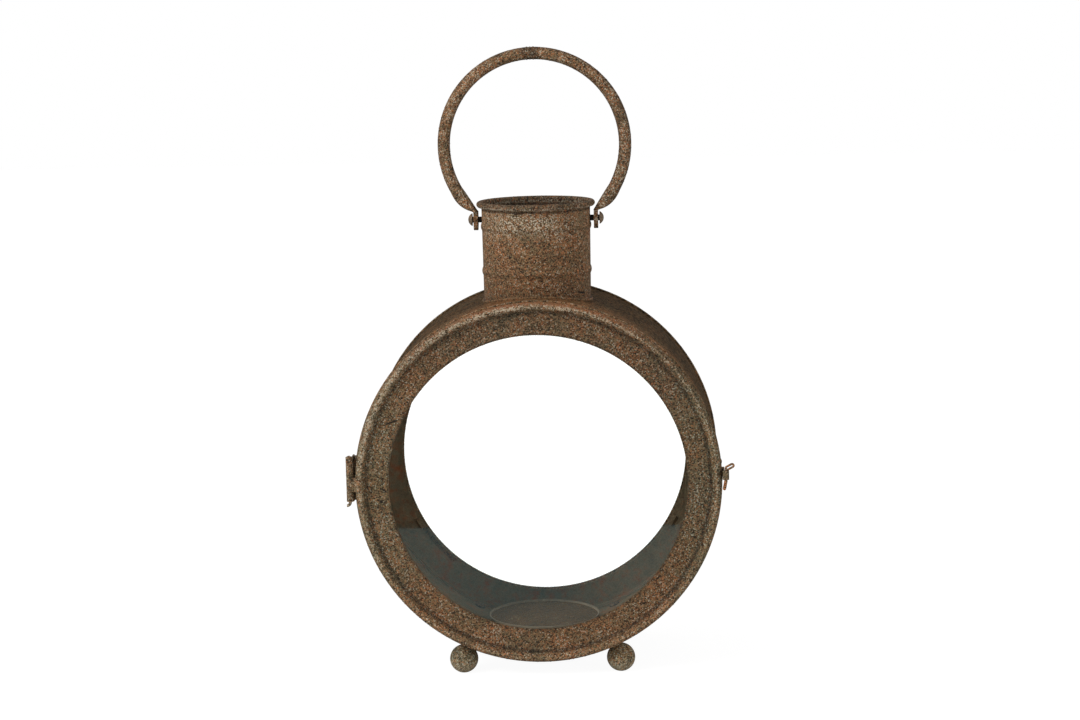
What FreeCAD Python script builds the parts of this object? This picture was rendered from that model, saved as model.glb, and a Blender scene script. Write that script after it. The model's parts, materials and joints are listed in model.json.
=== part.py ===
import FreeCAD, Part
import math
import os
import Sketcher

# Round hand lantern in rusted sheet metal: a drum on four ball feet with a glazed door in front,
# a fixed glass behind, a short chimney with a swinging tube handle on top, and a turning wire
# latch at the right of the door.
# Frame: X to the right, Y to the back, Z up; the drum lies along Y and the feet stand on Z = 0.
# Many pieces turn about the drum's axis. Their own Y points forward, out of the door.

# Driving sizes in millimetres and degrees
SIZES = {
    # Sheet metal and the drum
    "sheet": 0.8,
    "half_depth": 75.2,
    "band_radius": 144.3,
    "hem_radius": 1.2,
    "seam_width": 9.0,
    "fit_gap": 0.1,
    # Door ring
    "bead_proud": 0.7,
    "bead_radius": 3.4,
    "door_gap": 0.4,
    "door_ring_width": 26.4,
    "door_flat_width": 14.8,
    "face_recess": 5.2,
    "hollow_back_angle": 40.0,
    "curl_angle": 157.0,
    # Rear ring
    "rear_ring_width": 24.5,
    "rear_recess": 1.4,
    "rear_flange": 9.0,
    "bend_radius": 1.0,
    # Glass and the tabs that hold it
    "glass_overlap": 6.4,
    "glass_thickness": 2.2,
    "tab_angle": 30.0,
    "tab_width": 9.0,
    "tab_foot": 7.5,
    "tab_reach": 3.6,
    "tab_sheet": 0.7,
    # Chimney
    "chimney_top_radius": 43.9,
    "chimney_foot_radius": 43.3,
    "chimney_height": 72.1,
    "rim_radius": 2.4,
    "swage_height": 0.9,
    "swage_width": 6.4,
    "upper_swage_drop": 17.8,
    "lower_swage_drop": 53.6,
    "chimney_hole_gap": 2.0,
    # Candle plate and its stand
    "plate_radius": 45.4,
    "plate_rim": 2.6,
    "plate_rise": 17.8,
    "stand_width": 16.0,
    "stand_half_length": 31.0,
    "stand_leg": 17.0,
    "stand_sheet": 1.2,
    "stand_seat": 0.25,
    # Feet
    "foot_radius": 11.4,
    "foot_neck_length": 3.0,
    "foot_angle": 23.5,
    "foot_inset": 18.2,
    "foot_neck_radius": 4.2,
    "foot_flat": 0.3,
    "foot_bore_depth": 9.0,
    "screw_radius": 2.0,
    "screw_head_radius": 4.4,
    "screw_head_height": 1.8,
    "screw_slack": 0.1,
    # Door hinge
    "hinge_offset": 4.6,
    "hinge_setback": 1.0,
    "knuckle_radius": 2.7,
    "hinge_pin_radius": 1.2,
    "hinge_slack": 0.05,
    "hinge_top": 23.6,
    "hinge_upper_split": 7.3,
    "hinge_lower_split": -4.0,
    "hinge_bottom": -12.3,
    "knuckle_gap": 0.3,
    "leaf_top": 22.8,
    "leaf_bottom": -18.7,
    "leaf_length": 18.0,
    "leaf_sheet": 1.2,
    "leaf_lug": 6.0,
    "leaf_hem_gap": 0.5,
    "strap_fit": 0.2,
    "strap_wrap_angle": 60.0,
    "pin_curl_radius": 2.7,
    "pin_curl_drop": 0.7,
    "pin_head_radius": 1.9,
    "pin_head_height": 0.9,
    # Latch
    "latch_offset": 3.4,
    "latch_front_gap": 0.4,
    "latch_knuckle_radius": 2.5,
    "latch_knuckle_bottom": 2.4,
    "latch_knuckle_top": 9.4,
    "latch_wire_radius": 0.85,
    "latch_loop_radius": 1.25,
    "latch_loop_length": 4.2,
    "latch_loop_angle": 28.0,
    "latch_loop_rise": 1.6,
    "latch_tail_length": 8.0,
    "latch_tail_width": 2.6,
    "latch_tail_angle": -101.0,
    "latch_collar": 0.6,
    # Small rivets on the hinge leaf, the latch bracket and the stand
    "rivet_radius": 1.3,
    "rivet_head_radius": 2.6,
    "rivet_head_height": 1.1,
    "rivet_tail_radius": 2.2,
    "rivet_tail_height": 0.7,
    "rivet_seat": 0.05,
    "hinge_rivet_upper": 15.7,
    "hinge_rivet_lower": -11.8,
    "latch_rivet_upper": 12.6,
    "latch_rivet_lower": -0.8,
    "leaf_rivet_setback": 10.8,
    # Handle and its pins
    "handle_radius": 73.0,
    "handle_tube_radius": 5.0,
    "handle_flare_rise": 15.0,
    "handle_sweep_angle": 29.0,
    "handle_flare_angle": 37.8,
    "handle_pivot_drop": 12.4,
    "handle_tab_gap": 2.9,
    "handle_tab_sheet": 3.4,
    "handle_tab_half_width": 6.6,
    "handle_tab_top": 6.4,
    "handle_tab_drop": 8.6,
    "handle_section_angle": 60.0,
    "handle_edge_radius": 1.9,
    "handle_face_radius": 69.0,
    "handle_pin_radius": 2.4,
    "handle_pin_slack": 0.08,
    "handle_pin_head_radius": 5.2,
    "handle_pin_head_height": 3.4,
    "handle_pin_head_gap": 1.2,
    "handle_pin_tail_radius": 4.0,
    "handle_pin_tail_height": 1.2,
    # Length by which every cutting tool runs past what it cuts
    "overrun": 5.0,
}

doc = FreeCAD.newDocument("RoundLantern")
sheet_table = doc.addObject("Spreadsheet::Sheet", "Sizes")
for row, (alias, number) in enumerate(SIZES.items(), start=1):
    sheet_table.set(f"A{row}", alias)
    sheet_table.set(f"B{row}", str(number))
    sheet_table.setAlias(f"B{row}", alias)
doc.recompute()


class Size:
    """A number that remembers the sheet formula it comes from."""

    def __init__(self, value, formula):
        self.value = value
        self.formula = formula

    def __add__(self, other):
        other = as_size(other)
        return Size(self.value + other.value, f"({self.formula} + {other.formula})")

    def __sub__(self, other):
        other = as_size(other)
        return Size(self.value - other.value, f"({self.formula} - {other.formula})")

    def __mul__(self, other):
        other = as_size(other)
        return Size(self.value * other.value, f"({self.formula} * {other.formula})")

    def __truediv__(self, other):
        other = as_size(other)
        return Size(self.value / other.value, f"({self.formula} / {other.formula})")

    def __rsub__(self, other):
        return as_size(other) - self

    def __neg__(self):
        return Size(-self.value, f"(-1 * {self.formula})")

    __radd__ = __add__
    __rmul__ = __mul__


def as_size(number):
    return number if isinstance(number, Size) else Size(float(number), f"({number})")


def root(size):
    return Size(math.sqrt(size.value), f"sqrt({size.formula})")


def cosine(size):
    return Size(math.cos(math.radians(size.value)), f"cos({size.formula})")


def sine(size):
    return Size(math.sin(math.radians(size.value)), f"sin({size.formula})")


def polar(centre, radius, angle):
    """Point on a circle, at an angle from the first axis."""
    return centre[0] + radius * cosine(angle), centre[1] + radius * sine(angle)


def across(radius, height):
    """How far out a circle of this radius is, at this height from its centre."""
    return root(radius * radius - height * height)


class Named:
    """The driving sizes as attributes."""

    def __init__(self, sizes):
        for alias, number in sizes.items():
            setattr(self, alias, Size(float(number), f"Sizes.{alias}"))


S = Named(SIZES)
ZERO = Size(0.0, "0")
ACROSS = FreeCAD.Vector(1, 0, 0)
DEPTH = FreeCAD.Vector(0, 1, 0)
UPWARD = FreeCAD.Vector(0, 0, 1)


def bind(item, path, size):
    """Tie one property to the sheet."""
    item.setExpression(path, size.formula)


def place(item, x, y, z, turn=None):
    """Put an object somewhere, turned first if a rotation is given."""
    spot = FreeCAD.Vector(x.value, y.value, z.value)
    item.Placement = FreeCAD.Placement(spot, turn or FreeCAD.Rotation())
    for axis_name, size in zip("xyz", (x, y, z)):
        bind(item, f"Placement.Base.{axis_name}", size)
    return item


QUARTER_TURN, HALF_TURN = as_size(90), as_size(180)

# Turn that points a piece's own Y forward, out of the door
FORWARD = FreeCAD.Rotation(ACROSS, 180)


def radial_turn(angle):
    """Own X outwards from the drum's axis, own Y forward."""
    return FreeCAD.Rotation(DEPTH, -angle.value).multiply(FORWARD)


def outward_turn(angle):
    """Own Z outwards from the drum's axis, at an angle above the right side."""
    return FreeCAD.Rotation(DEPTH, (QUARTER_TURN - angle).value)


class Bend:
    """An arc of less than a half circle between two points of an outline."""

    def __init__(self, radius, turn):
        self.radius = radius
        self.turn = turn


LEFT, RIGHT = 1, -1


def new_body(name):
    return doc.addObject("PartDesign::Body", name)


def new_sketch(body, name, plane, offset=ZERO, turn=None, spot=None):
    """Sketch on one of the body's origin planes, moved along its normal or turned."""
    sketch = body.newObject("Sketcher::SketchObject", name)
    face = next(item for item in body.Origin.OriginFeatures if item.Role == plane)
    sketch.AttachmentSupport = [(face, "")]
    sketch.MapMode = "FlatFace"
    x, y, z = spot or (ZERO, ZERO, offset)
    corner = FreeCAD.Vector(x.value, y.value, z.value)
    sketch.AttachmentOffset = FreeCAD.Placement(corner, turn or FreeCAD.Rotation())
    for axis_name, size in zip("xyz", (x, y, z)):
        bind(sketch, f"AttachmentOffset.Base.{axis_name}", size)
    return sketch


def pin_point(sketch, edge, end, point):
    for kind, size in zip(("DistanceX", "DistanceY"), point):
        index = sketch.addConstraint(Sketcher.Constraint(kind, edge, end, size.value))
        bind(sketch, f"Constraints[{index}]", size)


def draw_outline(sketch, items):
    """Closed outline of points, joined by lines or by the bend that stands between two."""
    points = [item for item in items if not isinstance(item, Bend)]
    bends = {}
    for place_in_list, item in enumerate(items):
        if isinstance(item, Bend):
            bends[sum(not isinstance(other, Bend) for other in items[:place_in_list]) - 1] = item
    ends = []
    for index, start in enumerate(points):
        stop = points[(index + 1) % len(points)]
        a = FreeCAD.Vector(start[0].value, start[1].value, 0)
        b = FreeCAD.Vector(stop[0].value, stop[1].value, 0)
        bend = bends.get(index)
        if bend is None:
            edge = sketch.addGeometry(Part.LineSegment(a, b), False)
            ends.append((edge, 1, 2))
        else:
            chord = b - a
            side = FreeCAD.Vector(-chord.y, chord.x, 0).normalize() * bend.turn
            rise = math.sqrt(bend.radius.value ** 2 - (chord.Length / 2) ** 2)
            middle = (a + b) / 2 + side * rise
            circle = Part.Circle(middle, UPWARD, bend.radius.value)
            first, last = (a, b) if bend.turn == LEFT else (b, a)
            angles = [math.atan2(p.y - middle.y, p.x - middle.x) for p in (first, last)]
            if angles[1] < angles[0]:
                angles[1] += 2 * math.pi
            edge = sketch.addGeometry(Part.ArcOfCircle(circle, *angles), False)
            ends.append((edge, 1, 2) if bend.turn == LEFT else (edge, 2, 1))
            index_radius = sketch.addConstraint(
                Sketcher.Constraint("Radius", edge, bend.radius.value))
            bind(sketch, f"Constraints[{index_radius}]", bend.radius)
        pin_point(sketch, edge, ends[-1][1], start)
    for index, (edge, start, stop) in enumerate(ends):
        following = ends[(index + 1) % len(ends)]
        sketch.addConstraint(Sketcher.Constraint("Coincident", edge, stop, following[0], following[1]))
    return sketch


def draw_circle(sketch, x, y, radius):
    centre = FreeCAD.Vector(x.value, y.value, 0)
    edge = sketch.addGeometry(Part.Circle(centre, UPWARD, radius.value), False)
    index = sketch.addConstraint(Sketcher.Constraint("Radius", edge, radius.value))
    bind(sketch, f"Constraints[{index}]", radius)
    pin_point(sketch, edge, 3, (x, y))
    return sketch


def revolve(body, sketch, name, axis="V_Axis", angle=None):
    turned = body.newObject("PartDesign::Revolution", name)
    turned.Profile = sketch
    turned.ReferenceAxis = (sketch, [axis])
    turned.Angle = 360
    if angle is not None:
        turned.Midplane = True
        turned.Angle = angle.value
        bind(turned, "Angle", angle)
    return turned


def pad(body, sketch, name, length):
    raised = body.newObject("PartDesign::Pad", name)
    raised.Profile = sketch
    bind(raised, "Length", length)
    return raised


def cut_through(body, sketch, name, reverse=False, both_ways=False):
    """Pocket through everything on one side of the sketch, or on both."""
    pocket = body.newObject("PartDesign::Pocket", name)
    pocket.Profile = sketch
    pocket.Type = "ThroughAll"
    pocket.Reversed = reverse
    pocket.Midplane = both_ways
    doc.recompute()
    before = pocket.BaseFeature.Shape.Volume
    if pocket.Shape.Volume >= before:
        raise RuntimeError(f"{name} cut nothing")
    return pocket


def cylinder(name, radius, height, x, y, z, turn=None):
    rod = doc.addObject("Part::Cylinder", name)
    bind(rod, "Radius", radius)
    bind(rod, "Height", height)
    return place(rod, x, y, z, turn)


def box(name, length, width, height, x, y, z):
    block = doc.addObject("Part::Box", name)
    bind(block, "Length", length)
    bind(block, "Width", width)
    bind(block, "Height", height)
    return place(block, x, y, z)


def cut(name, base, tools):
    """Cut tools away from a base, and make sure that each took something."""
    for index, tool in enumerate(tools):
        piece = doc.addObject("Part::Cut", f"{name}_cut_{index}")
        piece.Base = base
        piece.Tool = tool
        doc.recompute()
        if not base.Shape.common(tool.Shape).Solids:
            raise RuntimeError(f"{name}: {tool.Name} cut nothing")
        base = piece
    return base


def group(name, pieces):
    """Separate solids that share one node."""
    bundle = doc.addObject("Part::Compound", name)
    bundle.Links = pieces
    return bundle


NODES = {}


def keep(label, item):
    """Register a finished piece under the name of its node."""
    item.Label = label
    NODES[label] = item
    return item


# Places that several pieces share
door_radius = S.band_radius + S.bead_proud
opening_radius = door_radius - S.door_ring_width
flat_radius = opening_radius + S.door_flat_width
rear_opening_radius = S.band_radius - S.rear_ring_width
glass_radius = opening_radius + S.glass_overlap
foot_reach = S.band_radius + S.foot_radius + S.foot_neck_length
foot_spread = S.half_depth - S.foot_inset
rim_height = S.band_radius + S.chimney_height
pivot_rise = rim_height - S.handle_pivot_drop
handle_tab_inner = S.chimney_top_radius + S.handle_tab_gap
handle_centre = S.handle_flare_rise + S.handle_radius * sine(S.handle_flare_angle)
axis_height = foot_reach * cosine(S.foot_angle) + S.foot_radius - S.foot_flat
band_inside = S.band_radius - S.sheet
hem_centre = band_inside + S.hem_radius
hem_reach = hem_centre + S.hem_radius
band_front = S.half_depth - S.bead_radius * 2 - S.door_gap
bead_centre = (door_radius - S.bead_radius, S.half_depth - S.bead_radius)
door_face = S.half_depth - S.face_recess
door_back = door_face - S.sheet
rear_face = -(S.half_depth - S.rear_recess)
rear_inner = rear_face + S.sheet
floor_height = axis_height - band_inside
hinge_x = -(door_radius + S.hinge_offset)
hinge_ahead = bead_centre[1] - S.hinge_setback
latch_x = door_radius + S.latch_offset
latch_ahead = S.half_depth + S.latch_front_gap + S.latch_wire_radius
pivot_height = axis_height + pivot_rise
leaf_radius = S.band_radius + S.rivet_seat
leaf_front = band_front - S.hem_radius * 2 - S.leaf_hem_gap
rivet_ahead = leaf_front - S.leaf_rivet_setback


def rivet(name, shank, head, tail, grip):
    """Pin with a domed head, turned about its own Z; it grips from zero up to the head."""
    head_radius, head_height = head
    tail_radius, tail_height = tail
    dome = (head_radius * head_radius + head_height * head_height) / (head_height * 2)
    body = new_body(name)
    profile = new_sketch(body, name + "_profile", "XZ_Plane")
    draw_outline(profile, [
        (ZERO, -tail_height), (tail_radius, -tail_height), (tail_radius, ZERO), (shank, ZERO),
        (shank, grip), (head_radius, grip), Bend(dome, LEFT), (ZERO, grip + head_height),
    ])
    revolve(body, profile, name + "_turned")
    return body


# Feet: a ball with a short neck, drawn up to the band by a screw from inside
FOOT_NAMES = {
    "front_left_foot": (-1, 1), "front_right_foot": (1, 1),
    "rear_left_foot": (-1, -1), "rear_right_foot": (1, -1),
}
ground_span = door_radius * 2
neck_top = S.band_radius + S.rivet_seat
screw_face = across(band_inside, S.screw_head_radius) - S.rivet_seat
foot_screws, foot_holes = [], []
for foot_name, (side, end) in FOOT_NAMES.items():
    foot_tilt = S.foot_angle * side - QUARTER_TURN
    foot_y = foot_spread * -end
    turn = outward_turn(foot_tilt)
    foot = new_body(foot_name + "_ball")
    profile = new_sketch(foot, foot_name + "_profile", "XZ_Plane")
    ball_joint = foot_reach - across(S.foot_radius, S.foot_neck_radius)
    bore = S.screw_radius + S.screw_slack
    bore_end = ball_joint + S.foot_bore_depth
    draw_outline(profile, [
        (bore, neck_top), (bore, bore_end), (ZERO, bore_end),
        (ZERO, foot_reach + S.foot_radius), Bend(S.foot_radius, RIGHT),
        (S.foot_radius, foot_reach), Bend(S.foot_radius, RIGHT),
        (S.foot_neck_radius, ball_joint), (S.foot_neck_radius, neck_top),
    ])
    revolve(foot, profile, foot_name + "_turned")
    place(foot, ZERO, foot_y, axis_height, turn)
    ground = box(foot_name + "_ground", ground_span, ground_span, S.overrun,
                 -ground_span / 2, -ground_span / 2, -S.overrun)
    keep(foot_name, cut(foot_name, foot, [ground]))
    screw = new_body(foot_name + "_screw")
    profile = new_sketch(screw, foot_name + "_screw_profile", "XZ_Plane")
    screw_end = bore_end - S.screw_slack - screw_face
    screw_taper = S.screw_radius / 2
    draw_outline(profile, [
        (ZERO, -S.screw_head_height), (S.screw_head_radius - screw_taper, -S.screw_head_height),
        (S.screw_head_radius, -screw_taper), (S.screw_head_radius, ZERO), (S.screw_radius, ZERO),
        (S.screw_radius, screw_end - screw_taper), (screw_taper, screw_end), (ZERO, screw_end)])
    revolve(screw, profile, foot_name + "_screw_turned")
    spot = (screw_face * cosine(foot_tilt), foot_y, axis_height + screw_face * sine(foot_tilt))
    foot_screws.append(place(screw, *spot, turn))
    foot_holes.append(cylinder(foot_name + "_hole", bore, S.overrun * 2, *spot, turn))
keep("foot_screws", group("foot_screw_set", foot_screws))

# Drum band: one sheet rolled into a drum, hemmed outwards at both ends, with a lapped seam below
band = new_body("drum_band_sheet")
profile = new_sketch(band, "band_profile", "XY_Plane")
band_back = -(S.half_depth - S.hem_radius)
draw_outline(profile, [
    (band_inside, band_back), (S.band_radius, band_back),
    (S.band_radius, band_front - S.hem_radius), (band_inside, band_front - S.hem_radius)])
revolve(band, profile, "band_turned")
for hem_name, hem_at in (("rear_hem", band_back), ("front_hem", band_front - S.hem_radius)):
    hem_sketch = new_sketch(band, hem_name + "_profile", "XY_Plane")
    hem_low, hem_high = hem_at - S.hem_radius, hem_at + S.hem_radius
    draw_outline(hem_sketch, [
        (band_inside, hem_low), (hem_centre, hem_low), Bend(S.hem_radius, LEFT),
        (hem_reach, hem_at), Bend(S.hem_radius, LEFT), (hem_centre, hem_high),
        (band_inside, hem_high)])
    revolve(band, hem_sketch, hem_name)
seam = new_sketch(band, "seam_profile", "XZ_Plane", -leaf_front)
seam_half = S.seam_width / 2
seam_inner = across(S.band_radius - S.sheet / 2, seam_half)
seam_outer = across(S.band_radius + S.sheet, seam_half)
draw_outline(seam, [
    (-seam_half, seam_inner), (seam_half, seam_inner), (seam_half, seam_outer),
    Bend(S.band_radius + S.sheet, LEFT), (-seam_half, seam_outer),
])
pad(band, seam, "lapped_seam", leaf_front * 2)
place(band, ZERO, ZERO, axis_height, FORWARD)
chimney_hole = cylinder(
    "chimney_hole", S.chimney_foot_radius - S.chimney_hole_gap, S.band_radius,
    ZERO, ZERO, axis_height)

# Candle plate: a shallow dish with an upright rim, on a bent strap that is riveted to the floor
plate_base = floor_height + S.plate_rise
plate = new_body("candle_dish")
profile = new_sketch(plate, "plate_profile", "XZ_Plane")
plate_bend = S.sheet * 2
draw_outline(profile, [
    (ZERO, ZERO), (S.plate_radius - plate_bend, ZERO), Bend(plate_bend, LEFT),
    (S.plate_radius, plate_bend), (S.plate_radius, S.plate_rim),
    (S.plate_radius - S.sheet, S.plate_rim), (S.plate_radius - S.sheet, plate_bend),
    Bend(S.sheet, RIGHT), (S.plate_radius - plate_bend, S.sheet), (ZERO, S.sheet),
])
revolve(plate, profile, "plate_turned")
place(plate, ZERO, ZERO, plate_base)
keep("candle_plate", plate)

stand = new_body("stand_strap")
profile = new_sketch(stand, "stand_profile", "YZ_Plane", -S.stand_width / 2)
foot_level = floor_height + S.stand_seat
seam_floor = axis_height - S.band_radius - S.sheet
top, bottom = plate_base, foot_level
leg, thick, reach = S.stand_leg, S.stand_sheet, S.stand_half_length
draw_outline(profile, [
    (-reach, bottom), (-leg - thick, bottom), Bend(thick, LEFT), (-leg, bottom + thick),
    (-leg, top - thick), (leg, top - thick), (leg, bottom + thick), Bend(thick, LEFT),
    (leg + thick, bottom), (reach, bottom), (reach, bottom + thick),
    (leg + thick, bottom + thick), (leg + thick, top - thick), Bend(thick, LEFT), (leg, top),
    (-leg, top), Bend(thick, LEFT), (-leg - thick, top - thick),
    (-leg - thick, bottom + thick), (-reach, bottom + thick),
])
pad(stand, profile, "stand_bent", S.stand_width)
SMALL_HEAD = (S.rivet_head_radius, S.rivet_head_height)
SMALL_TAIL = (S.rivet_tail_radius, S.rivet_tail_height)
small_bore = S.rivet_radius + S.rivet_seat
stand_rivets, stand_holes = [], []
for side in (-1, 1):
    name = "stand_rivet_front" if side < 0 else "stand_rivet_back"
    spot = (ZERO, (leg + thick + reach) / 2 * side, seam_floor - S.rivet_seat)
    grip = bottom + thick - spot[2]
    stand_rivets.append(place(rivet(name, S.rivet_radius, SMALL_HEAD, SMALL_TAIL, grip), *spot))
    hole_from = spot[2] - S.overrun
    stand_holes.append(cylinder(
        name + "_hole", small_bore, grip + S.overrun * 2, spot[0], spot[1], hole_from))
keep("plate_stand", cut("plate_stand", stand, stand_holes))
keep("stand_rivets", group("stand_rivet_set", stand_rivets))


# Glass discs and the bent tabs that hold them
def glass_disc(name, back):
    pane = new_body(name + "_pane")
    face = new_sketch(pane, name + "_edge", "XZ_Plane")
    draw_circle(face, ZERO, ZERO, glass_radius)
    pad(pane, face, name + "_thickness", S.glass_thickness)
    return keep(name, place(pane, ZERO, -back, axis_height))


glass_disc("door_glass", door_back - S.glass_thickness)
glass_disc("rear_glass", rear_inner)


def glass_tabs(name, seat, side):
    """Four tabs; each foot lies on the ring at seat and its tongue on the glass, side is +1 or -1."""
    over = seat + S.glass_thickness * side
    skin = S.tab_sheet * side
    step = glass_radius + S.fit_gap
    tip = glass_radius - S.tab_reach
    clearance = S.rivet_seat * side
    tabs = []
    for index in range(4):
        angle = S.tab_angle * (1 if index in (0, 2) else -1) + HALF_TURN * (index // 2)
        tab = new_body(f"{name}_{index}")
        outline = new_sketch(tab, f"{name}_{index}_profile", "XY_Plane", -S.tab_width / 2)
        draw_outline(outline, [
            (step, seat), (step + S.tab_foot, seat), (step + S.tab_foot, seat + skin),
            (step + S.tab_sheet, seat + skin), (step + S.tab_sheet, over + clearance),
            Bend(S.tab_sheet, LEFT if side > 0 else RIGHT), (step, over + skin + clearance),
            (tip, over + skin + clearance), (tip, over + clearance), (step, over + clearance),
        ])
        pad(tab, outline, f"{name}_{index}_width", S.tab_width)
        tabs.append(place(tab, ZERO, ZERO, axis_height, radial_turn(angle)))
    return keep(name, group(name + "_set", tabs))


glass_tabs("door_glass_tabs", door_back, -1)
glass_tabs("rear_glass_tabs", rear_inner, 1)

# Rear ring: a flat ring with a rolled inner edge, and a flange that fits inside the band
ring = new_body("rear_ring_pressing")
profile = new_sketch(ring, "rear_ring_profile", "XY_Plane")
outer_bend = S.bend_radius + S.sheet
flange_out = band_inside - S.fit_gap
inner_turn = (rear_opening_radius + outer_bend, rear_inner - outer_bend)
outer_turn = (flange_out - outer_bend, rear_face + outer_bend)
lip_end = -S.half_depth
flange_end = rear_face + S.rear_flange
draw_outline(profile, [
    (rear_opening_radius, lip_end), (rear_opening_radius + S.sheet, lip_end),
    (rear_opening_radius + S.sheet, inner_turn[1]), Bend(S.bend_radius, RIGHT),
    (inner_turn[0], rear_face), (outer_turn[0], rear_face), Bend(outer_bend, LEFT),
    (flange_out, outer_turn[1]), (flange_out, flange_end), (flange_out - S.sheet, flange_end),
    (flange_out - S.sheet, outer_turn[1]), Bend(S.bend_radius, RIGHT),
    (outer_turn[0], rear_inner), (inner_turn[0], rear_inner), Bend(outer_bend, LEFT),
    (rear_opening_radius, inner_turn[1]),
])
revolve(ring, profile, "rear_ring_turned")
keep("rear_ring", place(ring, ZERO, ZERO, axis_height, FORWARD))

# Door ring: a flat face, a hollow that sweeps up from it, and a bead rolled over a wire at the rim
door = new_body("door_ring_pressing")
profile = new_sketch(door, "door_ring_profile", "XY_Plane")
bead_x, bead_y = bead_centre
sweep_width = bead_x - flat_radius
bead_rise = bead_y - door_face
hollow_radius = (sweep_width * sweep_width + bead_rise * bead_rise
                 - S.bead_radius * S.bead_radius) / ((S.bead_radius + bead_rise) * 2)
hollow_centre = (flat_radius, door_face + hollow_radius)
bead_share = S.bead_radius / (S.bead_radius + hollow_radius)
sweep_meets_bead = (bead_x - sweep_width * bead_share,
                    bead_y + (hollow_radius - bead_rise) * bead_share)
draw_outline(profile, [
    (opening_radius, door_back), (opening_radius, door_face), (flat_radius, door_face),
    Bend(hollow_radius, LEFT), sweep_meets_bead, Bend(S.bead_radius, RIGHT),
    (bead_x + S.bead_radius, bead_y), Bend(S.bead_radius, RIGHT),
    polar(bead_centre, S.bead_radius, -S.curl_angle),
    polar(hollow_centre, hollow_radius + S.sheet, S.hollow_back_angle - QUARTER_TURN),
    Bend(hollow_radius + S.sheet, RIGHT), (flat_radius, door_back)])
revolve(door, profile, "door_ring_turned")
keep("door_ring", place(door, ZERO, ZERO, axis_height, FORWARD))

# Hinge: a leaf on the band with two knuckles, a strap on the door's bead with one, and a wire pin
hinge_bore = S.hinge_pin_radius + S.hinge_slack
web_outer = -(hem_reach + S.leaf_hem_gap + S.leaf_sheet)
strap_bottom = S.hinge_lower_split + S.knuckle_gap / 2
strap_top = S.hinge_upper_split - S.knuckle_gap / 2


def knuckle_block(body, name, low, high, x, ahead, radius, web):
    """A knuckle and the web that runs back from it; own Y points to the back here."""
    web_from, web_to, web_back = web
    disc = new_sketch(body, name + "_circle", "XY_Plane", low)
    draw_circle(disc, x, -ahead, radius)
    pad(body, disc, name + "_knuckle", high - low)
    strip = new_sketch(body, name + "_strip", "XY_Plane", low)
    draw_outline(strip, [
        (web_from, -ahead), (web_to, -ahead), (web_to, -web_back), (web_from, -web_back)])
    pad(body, strip, name + "_web", high - low)


def lug_block(body, name, low, high, side, outer):
    """Fills the space between the curved band and a flat web outside it."""
    sketch = new_sketch(body, name + "_section", "XZ_Plane", leaf_front - S.leaf_lug)
    inner_low, inner_high = across(leaf_radius, low) * side, across(leaf_radius, high) * side
    turn = RIGHT if side < 0 else LEFT
    draw_outline(sketch, [
        (inner_low, low), Bend(leaf_radius, turn), (inner_high, high), (outer, high), (outer, low)])
    pad(body, sketch, name + "_lug", S.leaf_lug)


def curved_leaf(body, name, low, high, side, length):
    """Plate that lies on the band."""
    sketch = new_sketch(body, name + "_section", "XZ_Plane", leaf_front - length)
    outer = leaf_radius + S.leaf_sheet
    turn = RIGHT if side < 0 else LEFT
    draw_outline(sketch, [
        (across(leaf_radius, low) * side, low), Bend(leaf_radius, turn),
        (across(leaf_radius, high) * side, high), (across(outer, high) * side, high),
        Bend(outer, -turn), (across(outer, low) * side, low)])
    pad(body, sketch, name + "_plate", length)


leaf = new_body("hinge_leaf_blank")
curved_leaf(leaf, "leaf", S.leaf_bottom, S.leaf_top, -1, S.leaf_length)
knuckle_spans = {
    "upper": (S.hinge_upper_split + S.knuckle_gap / 2, S.hinge_top),
    "lower": (S.hinge_bottom, S.hinge_lower_split - S.knuckle_gap / 2),
}
lug_block(leaf, "leaf", S.hinge_bottom, S.leaf_top, -1, web_outer)
for span_name, (low, high) in knuckle_spans.items():
    knuckle_block(leaf, span_name, low, high, hinge_x, hinge_ahead, S.knuckle_radius,
                  (web_outer, web_outer + S.leaf_sheet, leaf_front - S.leaf_lug))
bore_sketch = new_sketch(leaf, "leaf_bore", "XY_Plane", S.hinge_bottom - S.overrun)
draw_circle(bore_sketch, hinge_x, -hinge_ahead, hinge_bore)
cut_through(leaf, bore_sketch, "leaf_bored", reverse=True)
place(leaf, ZERO, ZERO, axis_height)


def band_rivet(name, side, height):
    """Rivet through a plate on the band, with the hole that it needs."""
    start = band_inside - S.rivet_seat
    grip = leaf_radius + S.leaf_sheet - start
    pin = rivet(name, S.rivet_radius, SMALL_HEAD, SMALL_TAIL, grip)
    out = across(start, height) * side
    spot = (out, -rivet_ahead, axis_height + height)
    turn = outward_turn(as_size(math.degrees(math.atan2(height.value, out.value))))
    hole = cylinder(name + "_hole", small_bore, S.overrun, *spot, turn)
    return place(pin, *spot, turn), hole


hinge_fixings = [
    band_rivet("hinge_rivet_above", -1, S.hinge_rivet_upper),
    band_rivet("hinge_rivet_below", -1, S.hinge_rivet_lower)]
hinge_holes = [hole for pin, hole in hinge_fixings]
keep("hinge_leaf", cut("hinge_leaf", leaf, hinge_holes))
keep("hinge_rivets", group("hinge_rivet_set", [pin for pin, hole in hinge_fixings]))

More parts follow.
